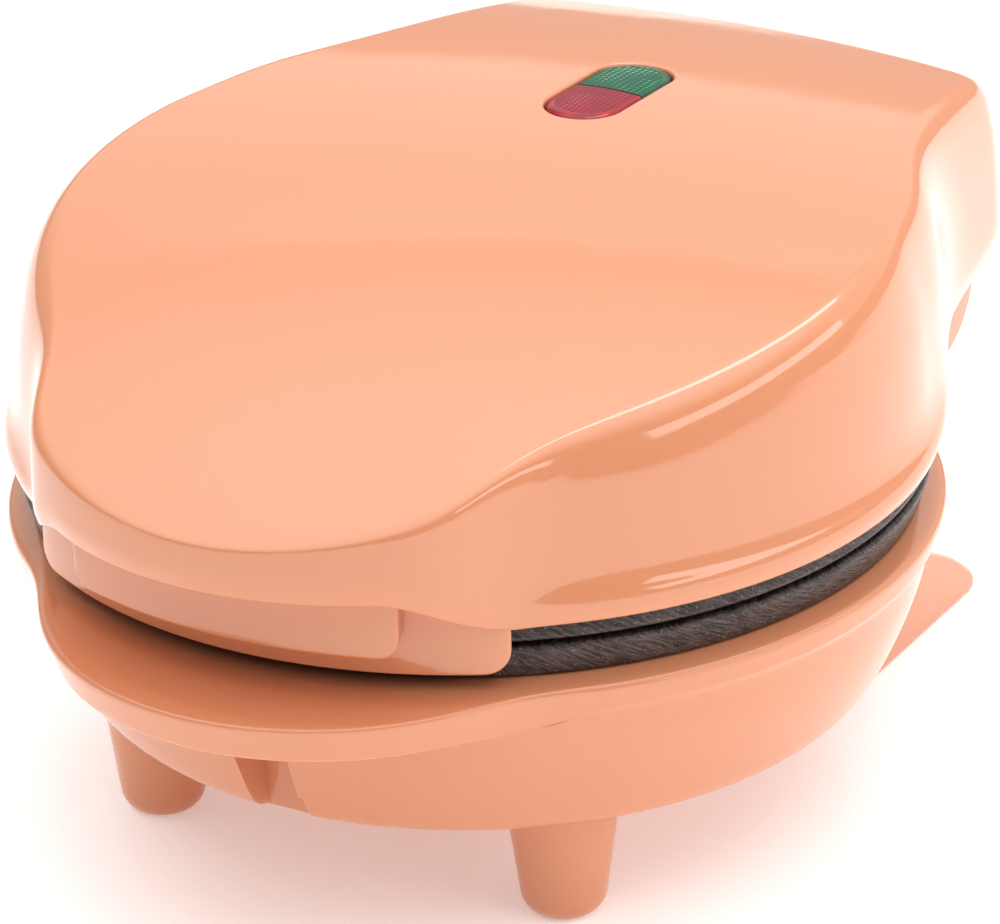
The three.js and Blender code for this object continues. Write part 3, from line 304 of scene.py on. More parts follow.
def directions(outline, count):
    """Angles round an outline, evenly spread by its length and 0.6 times its turning."""
    fine = np.linspace(-np.pi / 2, 1.5 * np.pi, 7201)
    points = outline(fine)[:, None] * np.stack([np.cos(fine), np.sin(fine)], 1)
    steps = np.diff(points, axis=0)
    length = np.hypot(*steps.T)
    heading = np.unwrap(np.arctan2(steps[:, 1], steps[:, 0]))
    turning = np.abs(np.diff(heading, prepend=heading[0]))
    travel = np.cumsum(length / length.sum() + 0.6 * turning / turning.sum())
    travel = np.concatenate([[0], travel])
    return np.interp(np.arange(count) / count * travel[-1], travel, fine)


def ring(angle, distance, height):
    """Points at a distance from the axis in each direction, at one height or at one for each."""
    distance = np.broadcast_to(distance, angle.shape)
    height = np.broadcast_to(height, angle.shape)
    return np.stack([distance * np.cos(angle), distance * np.sin(angle), height], 1)


def towards(start, goal, length):
    """Points moved by a length towards their goals, but at most half of the way."""
    gap = np.linalg.norm(goal - start, axis=1, keepdims=True)
    share = np.minimum(np.broadcast_to(length, gap.shape[:1])[:, None] / np.maximum(gap, 1e-6), 0.5)
    return start + (goal - start) * share


def stacked(corners, flat_steps, arc_steps):
    """Rings through a list of (points, rounding): each corner is a parabola that touches both
    neighbouring flats at the rounding's length from it, and the flats are ruled between them."""
    rings, last = [], None
    for k, (points, rounding) in enumerate(corners):
        if rounding is None or k in (0, len(corners) - 1):
            arc = [points]
        else:
            start = towards(points, corners[k - 1][0], rounding)
            end = towards(points, corners[k + 1][0], rounding)
            t = np.linspace(0, 1, arc_steps + 1)[:, None, None]
            arc = list((1 - t) ** 2 * start + 2 * t * (1 - t) * points + t**2 * end)
        if last is not None:
            t = np.linspace(0, 1, flat_steps + 2)[1:-1, None, None]
            rings += list(last + (arc[0] - last) * t)
        rings += arc
        last = arc[-1]
    return np.array(rings)


# Meshes

def grid_faces(rows, columns, loop):
    """Quads of a grid that closes across its columns, and along its rows where it is a loop."""
    r = np.arange(rows if loop else rows - 1)[:, None]
    c = np.arange(columns)[None, :]
    next_r, next_c = (r + 1) % rows, (c + 1) % columns
    quads = np.stack([r * columns + c, r * columns + next_c,
                      next_r * columns + next_c, next_r * columns + c], -1)
    return quads.reshape(-1, 4)


def skin(rings, loop=False):
    """A closed surface over rings: (points, quads, caps). Its ends are closed by flat faces."""
    rows, columns = rings.shape[:2]
    caps = [] if loop else [np.arange(columns), np.arange(columns)[::-1] + (rows - 1) * columns]
    return rings.reshape(-1, 3), grid_faces(rows, columns, loop), caps


def signed_volume(points, quads):
    """Six times the volume inside the quads, below zero where they face inwards."""
    a, b, c, d = (points[quads[:, k]] for k in range(4))
    return (np.einsum("ij,ij->i", a, np.cross(b, c))
            + np.einsum("ij,ij->i", a, np.cross(c, d))).sum()


def piece(name, skins, body, finish, replaces, sharp=50, edge=None, edge_faces=0):
    """One object from several closed skins, its faces outwards, riding on a CAD body in place of
    CAD nodes. Edges over sharp degrees stay sharp, and the first edge_faces faces may have a finish
    of their own."""
    points, faces, count = [], [], 0
    for vertices, quads, caps in skins:
        flip = signed_volume(vertices - vertices.mean(0), quads) < 0
        quads = quads[:, ::-1] if flip else quads
        faces += (quads + count).tolist()
        for cap in caps:
            cap = cap if flip else cap[::-1]
            faces.append((cap + count).tolist())
        points.append(vertices)
        count += len(vertices)
    points = np.concatenate(points) + (0, AXIS_BACK, 0)
    mesh = bpy.data.meshes.new(name)
    mesh.from_pydata(points * MM, [], faces)
    mesh.validate()
    mesh.shade_smooth()
    mesh.set_sharp_from_angle(angle=math.radians(sharp))
    made = bpy.data.objects.new(name, mesh)
    bpy.context.scene.collection.objects.link(made)
    mesh.materials.append(finish)
    if edge:
        mesh.materials.append(edge)
        shares = np.zeros(len(mesh.polygons), dtype=np.int32)
        shares[:edge_faces] = 1
        mesh.polygons.foreach_set("material_index", shares)
    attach(made, body)
    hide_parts(*replaces)


# Materials

def linear(hex_colour):
    """An sRGB hex colour as linear red, green, blue and a full alpha."""
    parts = [int(hex_colour[k:k + 2], 16) / 255 for k in (1, 3, 5)]
    return [c / 12.92 if c <= 0.04045 else ((c + 0.055) / 1.055) ** 2.4 for c in parts] + [1.0]


def node(tree, kind, inputs=None, **settings):
    """Adds a node with its settings; each input is a value or another node's output."""
    made = tree.nodes.new(kind)
    for key, value in settings.items():
        setattr(made, key, value)
    for key, value in (inputs or {}).items():
        if isinstance(value, bpy.types.NodeSocket):
            tree.links.new(value, made.inputs[key])
        else:
            made.inputs[key].default_value = value
    return made


def started(name, **constants):
    """A material with a lone Principled shader, its constants on the shader's own sockets."""
    material = bpy.data.materials.new(name)
    material.use_nodes = True
    tree = material.node_tree
    tree.nodes.clear()
    shader = node(tree, "ShaderNodeBsdfPrincipled",
                  {key.replace("_", " "): value for key, value in constants.items()})
    node(tree, "ShaderNodeOutputMaterial", {"Surface": shader.outputs[0]})
    place = node(tree, "ShaderNodeTexCoord").outputs["Object"]
    return material, tree, shader, place


def clouded(tree, shader, place, low, high, size, detail):
    """Gives a shader two shades in clouds of a size in millimetres, and returns the clouds."""
    cloud = node(tree, "ShaderNodeTexNoise",
                 {"Vector": place, "Scale": 1 / (size * MM), "Detail": detail}).outputs["Fac"]
    tint = node(tree, "ShaderNodeMix", {0: cloud, 6: linear(low), 7: linear(high)},
                data_type="RGBA")
    tree.links.new(tint.outputs[2], shader.inputs["Base Color"])
    return cloud


def gloss_abs(name, light, dark):
    """Injection moulded ABS from a polished mould: an even colour that is a touch deeper here and
    there, a clear gloss with a little light under the skin, and a slow ripple of about 9 mm with a
    finer one of 1.6 mm in it. A polished mould's own marks are too fine to show, so they are left
    out."""
    material, tree, shader, place = started(
        name, IOR=1.53, Specular_IOR_Level=0.7, Subsurface_Weight=0.12, Subsurface_Scale=2 * MM,
        Subsurface_Radius=(1.0, 0.45, 0.25))
    clouded(tree, shader, place, light, dark, 60, 2.0)
    ripple = node(tree, "ShaderNodeTexNoise",
                  {"Vector": place, "Scale": 1 / (9 * MM), "Detail": 1.0})
    fine = node(tree, "ShaderNodeTexNoise",
                {"Vector": place, "Scale": 1 / (1.6 * MM), "Detail": 2.0})
    gloss = node(tree, "ShaderNodeMapRange", {0: fine.outputs["Fac"], 3: 0.06, 4: 0.1})
    tree.links.new(gloss.outputs[0], shader.inputs["Roughness"])
    slow = node(tree, "ShaderNodeBump", {"Height": ripple.outputs["Fac"], "Strength": 0.03,
                                         "Distance": 1.2 * MM})
    bump = node(tree, "ShaderNodeBump", {"Height": fine.outputs["Fac"], "Strength": 0.04,
                                         "Distance": 0.12 * MM, "Normal": slow.outputs[0]})
    tree.links.new(bump.outputs[0], shader.inputs["Normal"])
    return material


def nonstick_coating():
    """Cast aluminium under a sprayed dark non-stick coating: a peppery grain whose peaks are
    glossier and are also painted pale as glints, and slanting file marks 0.4 mm apart and 3 mm long
    that the coating doesn't hide. A sprayed grain is really finer than the render can show, so it
    is drawn at
    0.45 mm."""
    material, tree, shader, place = started("sprayed_nonstick_coating", IOR=1.5, Metallic=0.25)
    grain = node(tree, "ShaderNodeTexNoise",
                 {"Vector": place, "Scale": 1 / (0.45 * MM), "Detail": 3.0, "Roughness": 0.75})
    slant = node(tree, "ShaderNodeMapping",
                 {"Vector": place, "Rotation": (math.radians(-17), math.radians(31), 0),
                  "Scale": (3 * MM, 3 * MM, 0.4 * MM)}, vector_type="TEXTURE")
    brushed = node(tree, "ShaderNodeTexNoise",
                   {"Vector": slant.outputs[0], "Scale": 1.0, "Detail": 2.0})
    mark = node(tree, "ShaderNodeMapRange", {0: brushed.outputs["Fac"], 1: 0.35, 2: 0.65})
    dark = node(tree, "ShaderNodeMix",
                {0: mark.outputs[0], 6: linear("#251d1b"), 7: linear("#524541")}, data_type="RGBA")
    # Painted glints: where the grain peaks, the colour turns pale grey; those peaks are also
    # glossier
    painted_glint_mask = node(tree, "ShaderNodeMapRange", {0: grain.outputs["Fac"], 1: 0.58, 2: 0.72})
    tint = node(tree, "ShaderNodeMix",
                {0: painted_glint_mask.outputs[0], 6: dark.outputs[2], 7: linear("#8d8480")}, data_type="RGBA")
    tree.links.new(tint.outputs[2], shader.inputs["Base Color"])
    gloss = node(tree, "ShaderNodeMapRange", {0: grain.outputs["Fac"], 3: 0.5, 4: 0.22})
    tree.links.new(gloss.outputs[0], shader.inputs["Roughness"])
    both = node(tree, "ShaderNodeMath", {0: grain.outputs["Fac"], 1: mark.outputs[0]},
                operation="ADD")
    bump = node(tree, "ShaderNodeBump",
                {"Height": both.outputs[0], "Strength": 0.7, "Distance": 0.15 * MM})
    tree.links.new(bump.outputs[0], shader.inputs["Normal"])
    return material


def signal_lens(name, light, dark, pitch):
    """Clear tinted polycarbonate with a moulded grid of small prisms under a smooth skin, and a
    clear gloss over them. The prisms' sparkle is painted into the colour as pale facets on a deep
    one, stronger in some clouds of 7 mm than in others, and the prisms also bump the skin. The
    prisms are two crossed waves of that pitch in millimetres, so the facets lie 0.7 of it apart."""
    material, tree, shader, place = started(name, IOR=1.2, Roughness=0.1)
    turned = node(tree, "ShaderNodeMapping",
                  {"Vector": place, "Rotation": (0, 0, math.radians(45))})
    split = node(tree, "ShaderNodeSeparateXYZ", {0: turned.outputs[0]})
    waves = [node(tree, "ShaderNodeMath", {0: split.outputs[k], 1: 2 * math.pi / (pitch * MM)},
                  operation="MULTIPLY") for k in (0, 1)]
    ridges = [node(tree, "ShaderNodeMath", {0: wave.outputs[0]}, operation="SINE")
              for wave in waves]
    prisms = node(tree, "ShaderNodeMath", {0: ridges[0].outputs[0], 1: ridges[1].outputs[0]},
                  operation="MULTIPLY")
    # Painted sparkle: the prisms' facets turn the deep colour pale, and the same mask bumps the
    # skin
    facet = node(tree, "ShaderNodeMapRange", {0: prisms.outputs[0], 1: -0.2, 2: 1.0})
    # These 7 mm clouds vary only how strong the painted sparkle is
    depth = node(tree, "ShaderNodeTexNoise",
                 {"Vector": place, "Scale": 1 / (7 * MM), "Detail": 1.0})
    clear = node(tree, "ShaderNodeMapRange",
                 {0: depth.outputs["Fac"], 1: 0.35, 2: 0.65, 3: 0.25, 4: 1.0})
    share = node(tree, "ShaderNodeMath", {0: facet.outputs[0], 1: clear.outputs[0]},
                 operation="MULTIPLY")
    tint = node(tree, "ShaderNodeMix", {0: share.outputs[0], 6: linear(dark), 7: linear(light)},
                data_type="RGBA")
    tree.links.new(tint.outputs[2], shader.inputs["Base Color"])
    bump = node(tree, "ShaderNodeBump",
                {"Height": share.outputs[0], "Strength": 0.5, "Distance": 0.2 * MM})
    tree.links.new(bump.outputs[0], shader.inputs["Normal"])
    return material


def lens_edge(name, light, dark):
    """The polished edge of a tinted polycarbonate lens: the light that it gathers is painted into
    it as the lens's deepest, brightest colour, a little uneven every 2 mm."""
    material, tree, shader, place = started(name, IOR=1.45, Roughness=0.05)
    # Painted edge glow: a deep, bright colour, uneven in clouds of 2 mm
    clouded(tree, shader, place, dark, light, 2, 1.0)
    return material


def worked_metal(name, light, dark, roughness, grain):
    """Plain metal with a grain in millimetres: cloudy colour, small changes of gloss and a fine
    bump, so that it glints unevenly."""
    material, tree, shader, place = started(name, Metallic=1.0)
    cloud = clouded(tree, shader, place, dark, light, grain, 5.0)
    gloss = node(tree, "ShaderNodeMapRange", {0: cloud, 3: roughness * 0.8, 4: roughness * 1.3})
    tree.links.new(gloss.outputs[0], shader.inputs["Roughness"])
    bump = node(tree, "ShaderNodeBump", {"Height": cloud, "Strength": 0.15, "Distance": 0.05 * MM})
    tree.links.new(bump.outputs[0], shader.inputs["Normal"])
    return material


def plain_insulator(name, light, dark, roughness, grain):
    """Moulded, woven or blown insulation: two near shades in a grain, its own gloss and a fine
    bump. A grain that is really finer is drawn at this size, so that it shows."""
    material, tree, shader, place = started(name, IOR=1.5)
    cloud = clouded(tree, shader, place, dark, light, grain, 4.0)
    gloss = node(tree, "ShaderNodeMapRange", {0: cloud, 3: roughness * 0.85, 4: roughness * 1.15})
    tree.links.new(gloss.outputs[0], shader.inputs["Roughness"])
    bump = node(tree, "ShaderNodeBump", {"Height": cloud, "Strength": 0.2, "Distance": 0.1 * MM})
    tree.links.new(bump.outputs[0], shader.inputs["Normal"])
    return material


apricot = gloss_abs("gloss_apricot_abs", "#dc9169", "#d98d65")
coating = nonstick_coating()
red_lens = signal_lens("red_polycarbonate_lens", "#e0485a", "#7c1222", 1.1)
red_edge = lens_edge("red_polycarbonate_edge", "#c80a1e", "#5e0410")
green_lens = signal_lens("green_polycarbonate_lens", "#2fae78", "#04452c", 1.3)
green_edge = lens_edge("green_polycarbonate_edge", "#086040", "#03241a")
# Screws, pins and clips: drawn steel under bright zinc, pale grey with a soft glint
zinc = worked_metal("zinc_plated_steel", "#c3c6c9", "#8e9296", 0.32, 1.5)
# Heater tubes: rolled steel that heat has turned brownish and dull
sheath = worked_metal("oxidised_heater_sheath", "#7c766c", "#4b463f", 0.5, 3.0)
# Reflectors: rolled steel sheet dipped in aluminium, pale with broad clouds
bright_sheet = worked_metal("aluminised_sheet_steel", "#d3d5d5", "#aeb1b1", 0.3, 6.0)
# Terminal block and lamp holder: moulded nylon, warm white and half matt
ivory = plain_insulator("ivory_nylon", "#ece5d5", "#ddd3bf", 0.5, 4.0)
# Cord gland: moulded rubber, near black and matt
rubber = plain_insulator("black_rubber", "#2c2c30", "#1b1b1e", 0.7, 1.0)
# Wire sleeves: braided glass yarn, dull cream with the yarns showing as a fine grain
glass_braid = plain_insulator("braided_glass_sleeve", "#ddd7c8", "#b9b1a0", 0.8, 0.6)
# Thermostat: pressed phenolic, dark brown with a low gloss
brown_bakelite = plain_insulator("brown_bakelite", "#47342a", "#2c1f18", 0.4, 2.0)
# Lamps: blown glass over a warm glow, pale amber and smooth
lamp_glass = plain_insulator("neon_lamp_glass", "#f0d3b4", "#dcb48c", 0.08, 3.0)


# Lid shell

def lid_skin():
    """One closed surface round the indicator window: out over the crown, down the wall, under the
    lip, up inside the wall and back along the ceiling to the window."""
    a = directions(lid_outline, LID_STEPS)
    low = LIP_BOTTOM + HANDLE_LIFT * fade(from_front(a), *HANDLE_LIFT_FADE) \
        + HIND_LIFT * fade(from_back(a), *HIND_LIFT_FADE)
    edge = TOP_EDGE + (FRONT_EDGE - TOP_EDGE) * fade(from_front(a), *FRONT_EDGE_FADE) \
        + (HIND_EDGE - TOP_EDGE) * fade(from_back(a), *HIND_LIFT_FADE)
    corner = ring(a, lid_outline(a, 0, 1), 0.0)
    window_centre = np.array([0, WINDOW_BACK])
    spoke = corner[:, :2] - window_centre
    reach = np.linalg.norm(spoke, axis=1)
    spoke /= reach[:, None]
    window = window_distance(spoke)

    def over(distance, drop=0.0):
        xy = window_centre + spoke * distance[:, None]
        return np.column_stack([xy, crown(*xy.T) - drop])

    # The corner between top and wall lies on the crown's tangent where its rounding starts
    start = reach - edge
    crown_end = over(start)
    x, y, z = crown_end.T
    slope = np.column_stack([-x / CROWN_CROSS_RADIUS,
                             np.maximum(-y - CROWN_BEND_FRONT, 0) / CROWN_BEND_RADIUS
                             - (y - CROWN_PEAK_BACK) / CROWN_LENGTH_RADIUS])
    corner[:, 2] = z + (slope * (corner[:, :2] - crown_end[:, :2])).sum(1)

    # Rings over the crown lie closer together near the window and near the edge
    t = (0.5 - 0.5 * np.cos(np.pi * np.linspace(0, 1, 34)[1:]))[:, None]
    near = window + WINDOW_RIM
    top = [over(near + (start - near) * k) for k in t]
    # The last 4 of these rings lie past the rim's rounding, where the top's own rings take over
    window_wall = stacked([(over(window, WALL), None), (over(window), WINDOW_RIM),
                           (over(near + WINDOW_RIM), None)], 3, 6)[:-4]

    foot_height = low + FOOT_RISE
    foot = ring(a, lid_outline(a), foot_height)
    shoulder = ring(a, lid_outline(a, 0, SHOULDER_DRAFT),
                    foot_height + SHOULDER_HEIGHT * (corner[:, 2] - foot_height))
    lip_distance = smooth_max(LIP_RADIUS, lid_outline(a), LIP_BLEND)
    lip = ring(a, lip_distance, low + CREST_RISE)
    low_edge = ring(a, lip_distance - LOW_EDGE_INSET, low)
    front = fade(from_front(a), *MOUTH_FADE)
    mouth = PLATE_RADIUS + FIT - MOUTH_CLOSING * front
    shelf = np.maximum(low + WALL, PARTING_TOP + PLATE_RIM_HEIGHT + FIT)
    inner_corner = ring(a, lid_outline(a, WALL, 1), 0.0)
    inner_corner[:, 2] = corner[:, 2] - WALL
    ceiling_start = over(reach - WALL - edge, WALL)
    around = stacked([(crown_end, None), (corner, edge), (shoulder, SHOULDER_ROUNDING),
                      (foot, FOOT_ROUNDING), (lip, CREST_ROUNDING), (low_edge, LOW_EDGE_ROUNDING),
                      (ring(a, mouth, low), FIT),
                      (ring(a, mouth - SHELF_LEDGE * (1 - front), shelf), FIT),
                      (ring(a, lid_outline(a, WALL), shelf), FIT), (inner_corner, WALL),
                      (ceiling_start, None)], 4, 8)
    ceiling = [over(window + (reach - WALL - edge - window) * k, WALL) for k in (0.66, 0.33)]
    return skin(np.array(list(window_wall) + top + list(around[1:]) + ceiling), loop=True)


def window_distance(spoke):
    """Distance from the window's centre to its edge: two straight sides and two half circles."""
    across, along = np.abs(spoke[:, 0]), np.abs(spoke[:, 1])
    straight = WINDOW_HALF_LENGTH - WINDOW_HALF_WIDTH
    side = WINDOW_HALF_WIDTH / np.maximum(across, 1e-6)
    end = straight * along + np.sqrt(np.maximum(WINDOW_HALF_WIDTH**2 - (straight * across) ** 2, 0))
    return np.where(side * along <= straight, side, end)


def bent_strip(inner, outer, half_angle, bottom, top, end_corner, edge):
    """A wall bent round the axis: a rounded rectangle carried through an angle, with its lower
    corners cut to quarter circles of end_corner and its ends rounded by edge."""

    def quarter(radius):
        return radius - np.sqrt(np.maximum(radius**2 - np.maximum(radius - from_end, 0) ** 2, 0))

    # Sections stand closer together towards the ends
    u = np.linspace(-1, 1, 121)
    u = np.sign(u) * (1 - (1 - np.abs(u)) ** 1.6)
    angle = -np.pi / 2 + math.radians(half_angle) * u
    from_end = outer * math.radians(half_angle) * (1 - np.abs(u))
    rounding = edge - quarter(edge)[:, None]
    turn = np.radians(np.concatenate([np.linspace(90 * k, 90 * k + 90, 7) for k in range(4)]))
    side = np.repeat([[1, 1], [-1, 1], [-1, -1], [1, -1]], 7, axis=0)
    middle, half = (inner + outer) / 2, (outer - inner) / 2
    low = (bottom + quarter(end_corner))[:, None]
    r = middle + side[:, 0] * (half - edge) + rounding * np.cos(turn)
    z = (top + low) / 2 + side[:, 1] * ((top - low) / 2 - edge) + rounding * np.sin(turn)
    return skin(np.stack([r * np.cos(angle)[:, None], r * np.sin(angle)[:, None], z], -1))


def slab(outline, low, high, edge, across=0):
    """An outline in the YZ plane given width along X, its two rims rounded by edge: each ring is
    the outline moved inwards along its normals, and across more rings stand between the rims."""
    ahead = np.roll(outline, -1, axis=0) - outline
    behind = outline - np.roll(outline, 1, axis=0)
    tangent = ahead / np.linalg.norm(ahead, axis=1, keepdims=True) \
        + behind / np.linalg.norm(behind, axis=1, keepdims=True)
    tangent /= np.linalg.norm(tangent, axis=1, keepdims=True)
    inwards = np.column_stack([-tangent[:, 1], tangent[:, 0]])
    y, z = outline.T
    inwards *= np.sign((y * np.roll(z, -1) - z * np.roll(y, -1)).sum())
    t = np.radians(np.linspace(0, 90, 7))
    pull = edge * np.concatenate([1 - np.sin(t), np.zeros(across), 1 - np.sin(t[::-1])])
    x = np.concatenate([low + edge * (1 - np.cos(t)),
                        np.linspace(low + edge, high - edge, across + 2)[1:-1],
                        high - edge * (1 - np.cos(t[::-1]))])
    flat = outline[None] + inwards[None] * pull[:, None, None]
    width = np.broadcast_to(x[:, None, None], flat.shape[:2] + (1,))
    return skin(np.concatenate([width, flat], -1))


def resampled(corners, roundings):
    """A closed outline through corners, each rounded by a parabola, then cut into even steps of
    0.6 mm."""
    corners = np.array(corners, float)
    path = []
    for k, (corner, cut) in enumerate(zip(corners, roundings)):
        before, after = corners[k - 1], corners[(k + 1) % len(corners)]
        start = corner + (before - corner) * min(cut / np.linalg.norm(before - corner), 0.5)
        end = corner + (after - corner) * min(cut / np.linalg.norm(after - corner), 0.5)
        t = np.linspace(0, 1, 13)[:, None]
        path.append((1 - t) ** 2 * start + 2 * t * (1 - t) * corner + t**2 * end)
    path = np.concatenate(path)
    path = np.vstack([path, path[:1]])
    gaps = np.linalg.norm(np.diff(path, axis=0), axis=1)
    keep = np.concatenate([[True], gaps > 1e-6])
    path, travel = path[keep], np.concatenate([[0], np.cumsum(gaps)])[keep]
    goals = np.linspace(0, travel[-1], int(travel[-1] / 0.6), endpoint=False)
    return np.column_stack([np.interp(goals, travel, path[:, k]) for k in (0, 1)])


def turned_skin(profile, roundings, place=(0, 0, 0), steps=72):
    """A profile of (radius, height) corners with rounded corners, turned about an upright axis."""
    a = np.linspace(0, 2 * np.pi, steps, endpoint=False)
    corners = [(ring(a, radius, height), rounding or None)
               for (radius, height), rounding in zip(profile, roundings)]
    return skin(stacked(corners, 2, 5) + np.array(place))


def lid_shell():
    """The lid's skin with the skirt and the grip block in front and a lug for each hinge pin: a
    half circle about the hinge's axis under two straight sides."""
    top = LIP_BOTTOM + HANDLE_LIFT + FRONT_SINK
    skirt = bent_strip(PLATE_RADIUS + 0.4, LIP_RADIUS, SKIRT_HALF_ANGLE, LIP_BOTTOM - SKIRT_DROP,
                       top, SKIRT_CORNER, FRONT_ROUNDING)
    grip = bent_strip(LIP_RADIUS - FRONT_SINK, LIP_RADIUS + GRIP_PROUD, GRIP_HALF_ANGLE,
                      LIP_BOTTOM - GRIP_DROP, top, GRIP_CORNER, FRONT_ROUNDING)
    lug_top = HINGE_Z + HIND_LIFT + FOOT_RISE
    lugs = []
    for side in (-1, 1):
        low, high = sorted((side * LUG_INNER, side * LUG_OUTER))
        around = np.linspace(np.pi, 2 * np.pi, 30)
        outline = np.vstack([
            np.column_stack([HINGE_Y + LUG_RADIUS * np.cos(around),
                             HINGE_Z + LUG_RADIUS * np.sin(around)]),
            np.column_stack([np.full(8, HINGE_Y + LUG_RADIUS),
                             np.linspace(HINGE_Z + 1, lug_top, 8)]),
            np.column_stack([np.full(8, HINGE_Y - LUG_RADIUS),
                             np.linspace(lug_top, HINGE_Z + 1, 8)])])
        lugs.append(slab(outline, low, high, LUG_ROUNDING))
    piece("lid_shell_moulding", [lid_skin(), skirt, grip] + lugs, "lid", apricot, ["lid_shell"])


# Base shell

def base_skin():
    """One closed surface: up from the inner floor to the plate's seat, over the flange, round its
    edge, into the pocket under the tab, down the bowl and across its bottom."""
    a = directions(base_outline, BASE_STEPS)
    tab = fade(from_front(a), *TAB_FADE)
    band_bottom = FLANGE_TOP - (FLANGE_BAND + (TAB_BAND - FLANGE_BAND) * tab)
    band = base_outline(a) - (FLANGE_BAND_INSET + (TAB_BAND_INSET - FLANGE_BAND_INSET) * tab)
    shoulder = BOWL_BOTTOM + BOWL_SHOULDER_HEIGHT * BOWL_DEPTH
    heel = BOWL_BOTTOM + BOWL_HEEL_HEIGHT * BOWL_DEPTH
    pocket_inner = FLANGE_RADIUS + WALL / 2
    pocket_outer = np.maximum(band - WALL, pocket_inner)
    depth = np.clip((band - WALL - pocket_inner) / POCKET_START, 0, 1) \
        * (TAB_BAND - FLANGE_EDGE_DROP - WALL)
    edge_outer = np.minimum(pocket_outer, band - 0.1)
    edge_inner = np.minimum(pocket_inner, edge_outer - 0.1)
    chamfer = BAND_CHAMFER * (1 - tab)
    # Each ring with its rounding, from the middle of the inner floor to the middle of the bottom
    corners = [
        (ring(a, NEAR_AXIS, BOWL_BOTTOM + WALL), None),
        (ring(a, BOWL_BOTTOM_RADIUS - WALL, BOWL_BOTTOM + WALL), 1.0),
        (ring(a, BOWL_TOP_RADIUS - BOWL_SHOULDER_INSET - WALL, shoulder), 2.0),
        (ring(a, FLANGE_RADIUS - SEAT_INSET, FLANGE_TOP - SEAT_DEPTH), 0.5),
        (ring(a, FLANGE_RADIUS - SEAT_INSET, FLANGE_TOP), FIT),
        (ring(a, PLATE_RADIUS - SHELF_LEDGE, FLANGE_TOP), 0.1),
        (ring(a, base_outline(a), FLANGE_TOP - FLANGE_EDGE_DROP), 1.2),
        (ring(a, band, band_bottom), 0.9),
        (ring(a, edge_outer, band_bottom), FIT),
        (ring(a, edge_outer - 0.05, band_bottom + depth), FIT),
        (ring(a, edge_inner + 0.05, band_bottom + depth), FIT),
        (ring(a, edge_inner, band_bottom), FIT),
        (ring(a, BOWL_TOP_RADIUS, band_bottom - 0.001 - chamfer), 0.9),
        (ring(a, BOWL_TOP_RADIUS - BOWL_SHOULDER_INSET, shoulder), BOWL_ROUNDING),
        (ring(a, BOWL_TOP_RADIUS - BOWL_HEEL_INSET, heel), BOWL_ROUNDING),
        (ring(a, BOWL_BOTTOM_RADIUS, BOWL_BOTTOM), 1.5),
        (ring(a, NEAR_AXIS, BOWL_BOTTOM), None)]
    return skin(front_notch(stacked(corners, 3, 8), len(stacked(corners[:4], 3, 8))))


def front_notch(rings, inner_rows):
    """The bowl's lower front is cut back to a sloping flat, over a few millimetres of width, and
    the inner wall is pushed in behind it."""
    x, y, z = rings[..., 0], rings[..., 1], rings[..., 2]
    rise = np.clip((z - BOWL_BOTTOM) / (FLANGE_TOP - TAB_BAND - BOWL_BOTTOM), 0, 1)
    flat = -(BOWL_BOTTOM_RADIUS - NOTCH_DEPTH) - NOTCH_SLOPE * rise
    outer = (np.arange(len(rings)) >= inner_rows)[:, None]
    flat = np.where(outer, flat, flat + WALL)
    half_width = np.where(outer, NOTCH_HALF_WIDTH, NOTCH_HALF_WIDTH + WALL)
    ceiling = np.where(outer, FLANGE_TOP - TAB_BAND - 0.5, FLANGE_TOP - SEAT_DEPTH - 0.5)
    inside = (np.abs(x - NOTCH_RIGHT) < half_width) & (z < ceiling) & (y < flat)
    rings = rings.copy()
    rings[..., 1] = np.where(inside, flat, y)
    return rings


def hinge_block():
    """The block behind the bowl and its long rear foot: one outline carried across, whose front
    above the bowl's bottom is pushed back into the bowl's own wall."""
    tail = HINGE_Y + TAIL_PAST_HINGE
    # Y and Z: the sole, the foot's blunt tip, its slope up to the block, and the block's back
    corners = [(BLOCK_FRONT, 0), (tail, 0), (tail, 2.6), (tail - 3, 5.2), (BLOCK_BACK + 8, 8.7),
               (BLOCK_BACK, 12.9), (BLOCK_BACK, BLOCK_TOP), (BLOCK_FRONT, BLOCK_TOP)]
    outline = resampled(corners, [0.8, 1.3, 1.5, 3, 5, 2.0, 0.8, 0.8])
    points, quads, caps = slab(outline, -BLOCK_HALF_WIDTH, BLOCK_HALF_WIDTH, BLOCK_ROUNDING,
                               across=30)
    x, y, z = points.T
    # A radius inside the bowl's own wall, between its inner and its outer face, at each height
    wall = np.interp(z, [BOWL_BOTTOM, BOWL_BOTTOM + 1.8, BOWL_BOTTOM + 12.7, BLOCK_TOP - 5],
                     [BOWL_BOTTOM_RADIUS - 1.1, BOWL_BOTTOM_RADIUS + 1.6, 60.4, 62.4])
    wall = wall * (z > BOWL_BOTTOM)
    inside = np.minimum(np.sqrt(np.maximum(wall**2 - x**2, 0)), BLOCK_BACK - 0.6)
    return np.column_stack([x, np.maximum(y, inside), z]), quads, caps


